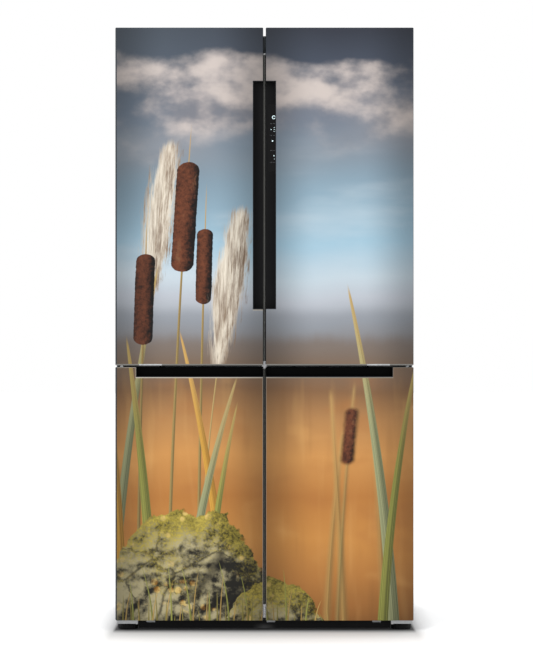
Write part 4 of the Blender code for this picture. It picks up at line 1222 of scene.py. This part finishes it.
# Grips ------------------------------------------
# Black satin plastic channels line the finger recesses: upright ones on the free edges of the upper
# doors, and level ones in the top edges of the lower doors, coloured darker as painted shade.

grip_black, at = finish("grip_black")
drawn = at.noise(700, 3.0, 0.6, (1, 1, 0.03))
touched = at.noise(16, 4.0, 0.65)
# painted shade: the level grips of the lower doors take darker colours than the upright ones
upright = at.axes()[2].fade(0.82, 0.90)
feed(grip_black, {
    "Base Color": (drawn * 0.4 + touched * 0.4).blend(upright.blend((1, 1, 1), (16, 16, 17)),
                                                      upright.blend((3, 3, 3), (27, 27, 28))),
    "Roughness": 0.30 + touched * 0.18,
    "Specular IOR Level": 0.03,
    "Normal": drawn.relief(0.00003),
})
for *_, label in doors:
    node = f"grip_{label}"
    shape = copied(node, True)
    crisp = [edge for edge in shape.edges
             if len(edge.link_faces) == 2 and edge.calc_face_angle() > math.radians(60)]
    soften(shape, crisp, 0.0004, 2)
    solid(f"channel_{label}", shape, grip_black, f"{label}_door", (node,), 50)


# Control strip ----------------------------------
# A strip of black glass lies on the floor of the right-hand upright grip, with small lit figures:
# a ring, two plain numbers with seven-bar digits, dots and faint rules between them.

glass_black = marked("display_glass", (30, 4.0, 0.65), (4, 4, 5), (9, 9, 10), 0.00002,
                     {"Roughness": (0.05, 0.08), "Specular IOR Level": 0.14})
lights = []
for name, scale, roughness, strength, faces, glows in (
        ("display_figures", 800, 0.4, 0.55,
         ((190, 214, 218), (214, 230, 232)), ((176, 208, 214), (214, 232, 236))),
        ("display_rules", 600, 0.5, 0.3, ((70, 72, 74), (92, 94, 96)), ((60, 64, 66), (78, 82, 84)))):
    light, at = finish(name)
    glow = at.noise(scale)
    feed(light, {"Base Color": glow.blend(*faces), "Roughness": roughness,
                 "Emission Color": glow.blend(*glows), "Emission Strength": strength})
    lights.append(light)

body = "upper_right_door"
strip_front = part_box("grip_upper_right")[1].y - 0.0018 - 0.0012
strip_left, strip_right, strip_low, strip_high = 0.010, 0.050, 1.395, 1.600
strip = block((strip_left, strip_front, strip_low), (strip_right, strip_front + 0.0013, strip_high),
              0.0005, 2)
solid("display_strip", strip, glass_black, body)
near, far = strip_front - 0.0002, strip_front + 0.0001


def mark(shape, x, z, half_wide, half_tall):
    """A small lit oblong on the display."""
    block((x - half_wide, near, z - half_tall), (x + half_wide, far, z + half_tall), shape=shape)


# The bars of each digit: how far right and up of its middle, half as wide and half as tall.
DIGITS = {3: ((0, 2, 0.75, 0.15), (1, 1, 0.15, 0.85), (0, 0, 0.75, 0.15), (1, -1, 0.15, 0.85),
              (0, -2, 0.75, 0.15)),
          1: ((1, 1, 0.15, 0.85), (1, -1, 0.15, 0.85))}


def disc(shape, x, z, outer, inner=0.0):
    """A dot, or a ring if it has an inner radius, on the display."""
    profile = [(outer, near), (outer, far)] + ([(inner, far), (inner, near)] if inner else [])
    rings = [[(x + r * p, y, z + r * q) for p, q in round_points(24, 0)] for r, y in profile]
    loft(rings, bool(inner), shape)


figures, rules = bmesh.new(), bmesh.new()
disc(figures, 0.0285, 1.560, 0.0056, 0.0036)
for number, x, z, half, dot_x, dot_z, dot in ((3, 0.0300, 1.523, 0.0030, 0.0205, 1.523, 0.0013),
                                              (1, 0.0285, 1.4330, 0.0014, 0.0290, 1.4430, 0.0016)):
    disc(figures, dot_x, dot_z, dot)
    for right, up, half_wide, half_tall in DIGITS[number]:
        mark(figures, x + right * half, z + up * half, half_wide * half, half_tall * half)
disc(figures, 0.0245, 1.488, 0.0024)
for z in (1.541, 1.505, 1.459, 1.423):
    mark(rules, 0.0205, z, 0.0032, 0.0004)
    mark(rules, 0.0290, z, 0.0028, 0.0004)
for name, shape, light in zip(("display_figures", "display_rules"), (figures, rules), lights):
    solid(name, shape, light, body)


# Studio -----------------------------------------
# A plain white floor under a white surround, with a painted shadow where it meets the base. One
# broad soft light stands at the upper left front and a weaker one at the right. The camera is level,
# eight metres off.

floor_painted_shadow, at = finish("floor_painted_shadow")
across, behind, _ = at.axes()
# painted shadow: the floor darkens towards the base's footprint, much faster at the sides
beyond_x = (abs(across) - cad_box[1].x).math("MAXIMUM", 0.0) * 10.0
beyond_y = (abs(behind) - 0.34).math("MAXIMUM", 0.0)
away = (beyond_x * beyond_x + beyond_y * beyond_y).math("SQRT")
clear = away.node("ValToRGB", {"stops": [(place, (grey,) * 3) for place, grey in (
    (0.00, 60), (0.03, 120), (0.09, 180), (0.25, 212), (0.45, 232), (0.80, 250))]}, {"Fac": away})
feed(floor_painted_shadow, {"Base Color": clear, "Roughness": 0.7, "Specular IOR Level": 0.2,
                   "Emission Color": clear, "Emission Strength": 0.3})
floor_shape = bmesh.new()
bmesh.ops.create_grid(floor_shape, x_segments=1, y_segments=1, size=30.0)
floor = placed("floor", mesh_of("floor", floor_shape, 40))
floor.data.materials.append(floor_painted_shadow)

scene = bpy.context.scene
scene.world = bpy.data.worlds.new("white_surround")
scene.world.use_nodes = True
surround = scene.world.node_tree.nodes["Background"].inputs
surround["Color"].default_value = (1.0, 1.0, 1.0, 1.0)
surround["Strength"].default_value = 1.0
scene.view_settings.view_transform = "Standard"

centre = (cad_box[0] + cad_box[1]) / 2
for name, place, power in (("key", (-2.6, -4.2, 3.6), 130), ("fill", (3.4, -3.6, 2.2), 45)):
    lamp = bpy.data.lights.new(name, "AREA")
    lamp.shape = "SQUARE"
    lamp.size = 2.4
    lamp.energy = power
    light = placed(name, lamp)
    light.location = place
    light.rotation_euler = (centre - Vector(place)).to_track_quat("-Z", "Y").to_euler()

camera_distance, picture_tall, film_size = 8.0, 2.005474, 36.0
camera = bpy.data.cameras.new("camera")
camera.sensor_width = film_size
camera.sensor_fit = "AUTO"
camera.lens = film_size * camera_distance / picture_tall
scene.camera = placed("camera", camera)
scene.camera.location = (0.0062, cad_box[0].y - camera_distance, 0.9107)
scene.camera.rotation_euler = (math.pi / 2, 0, 0)
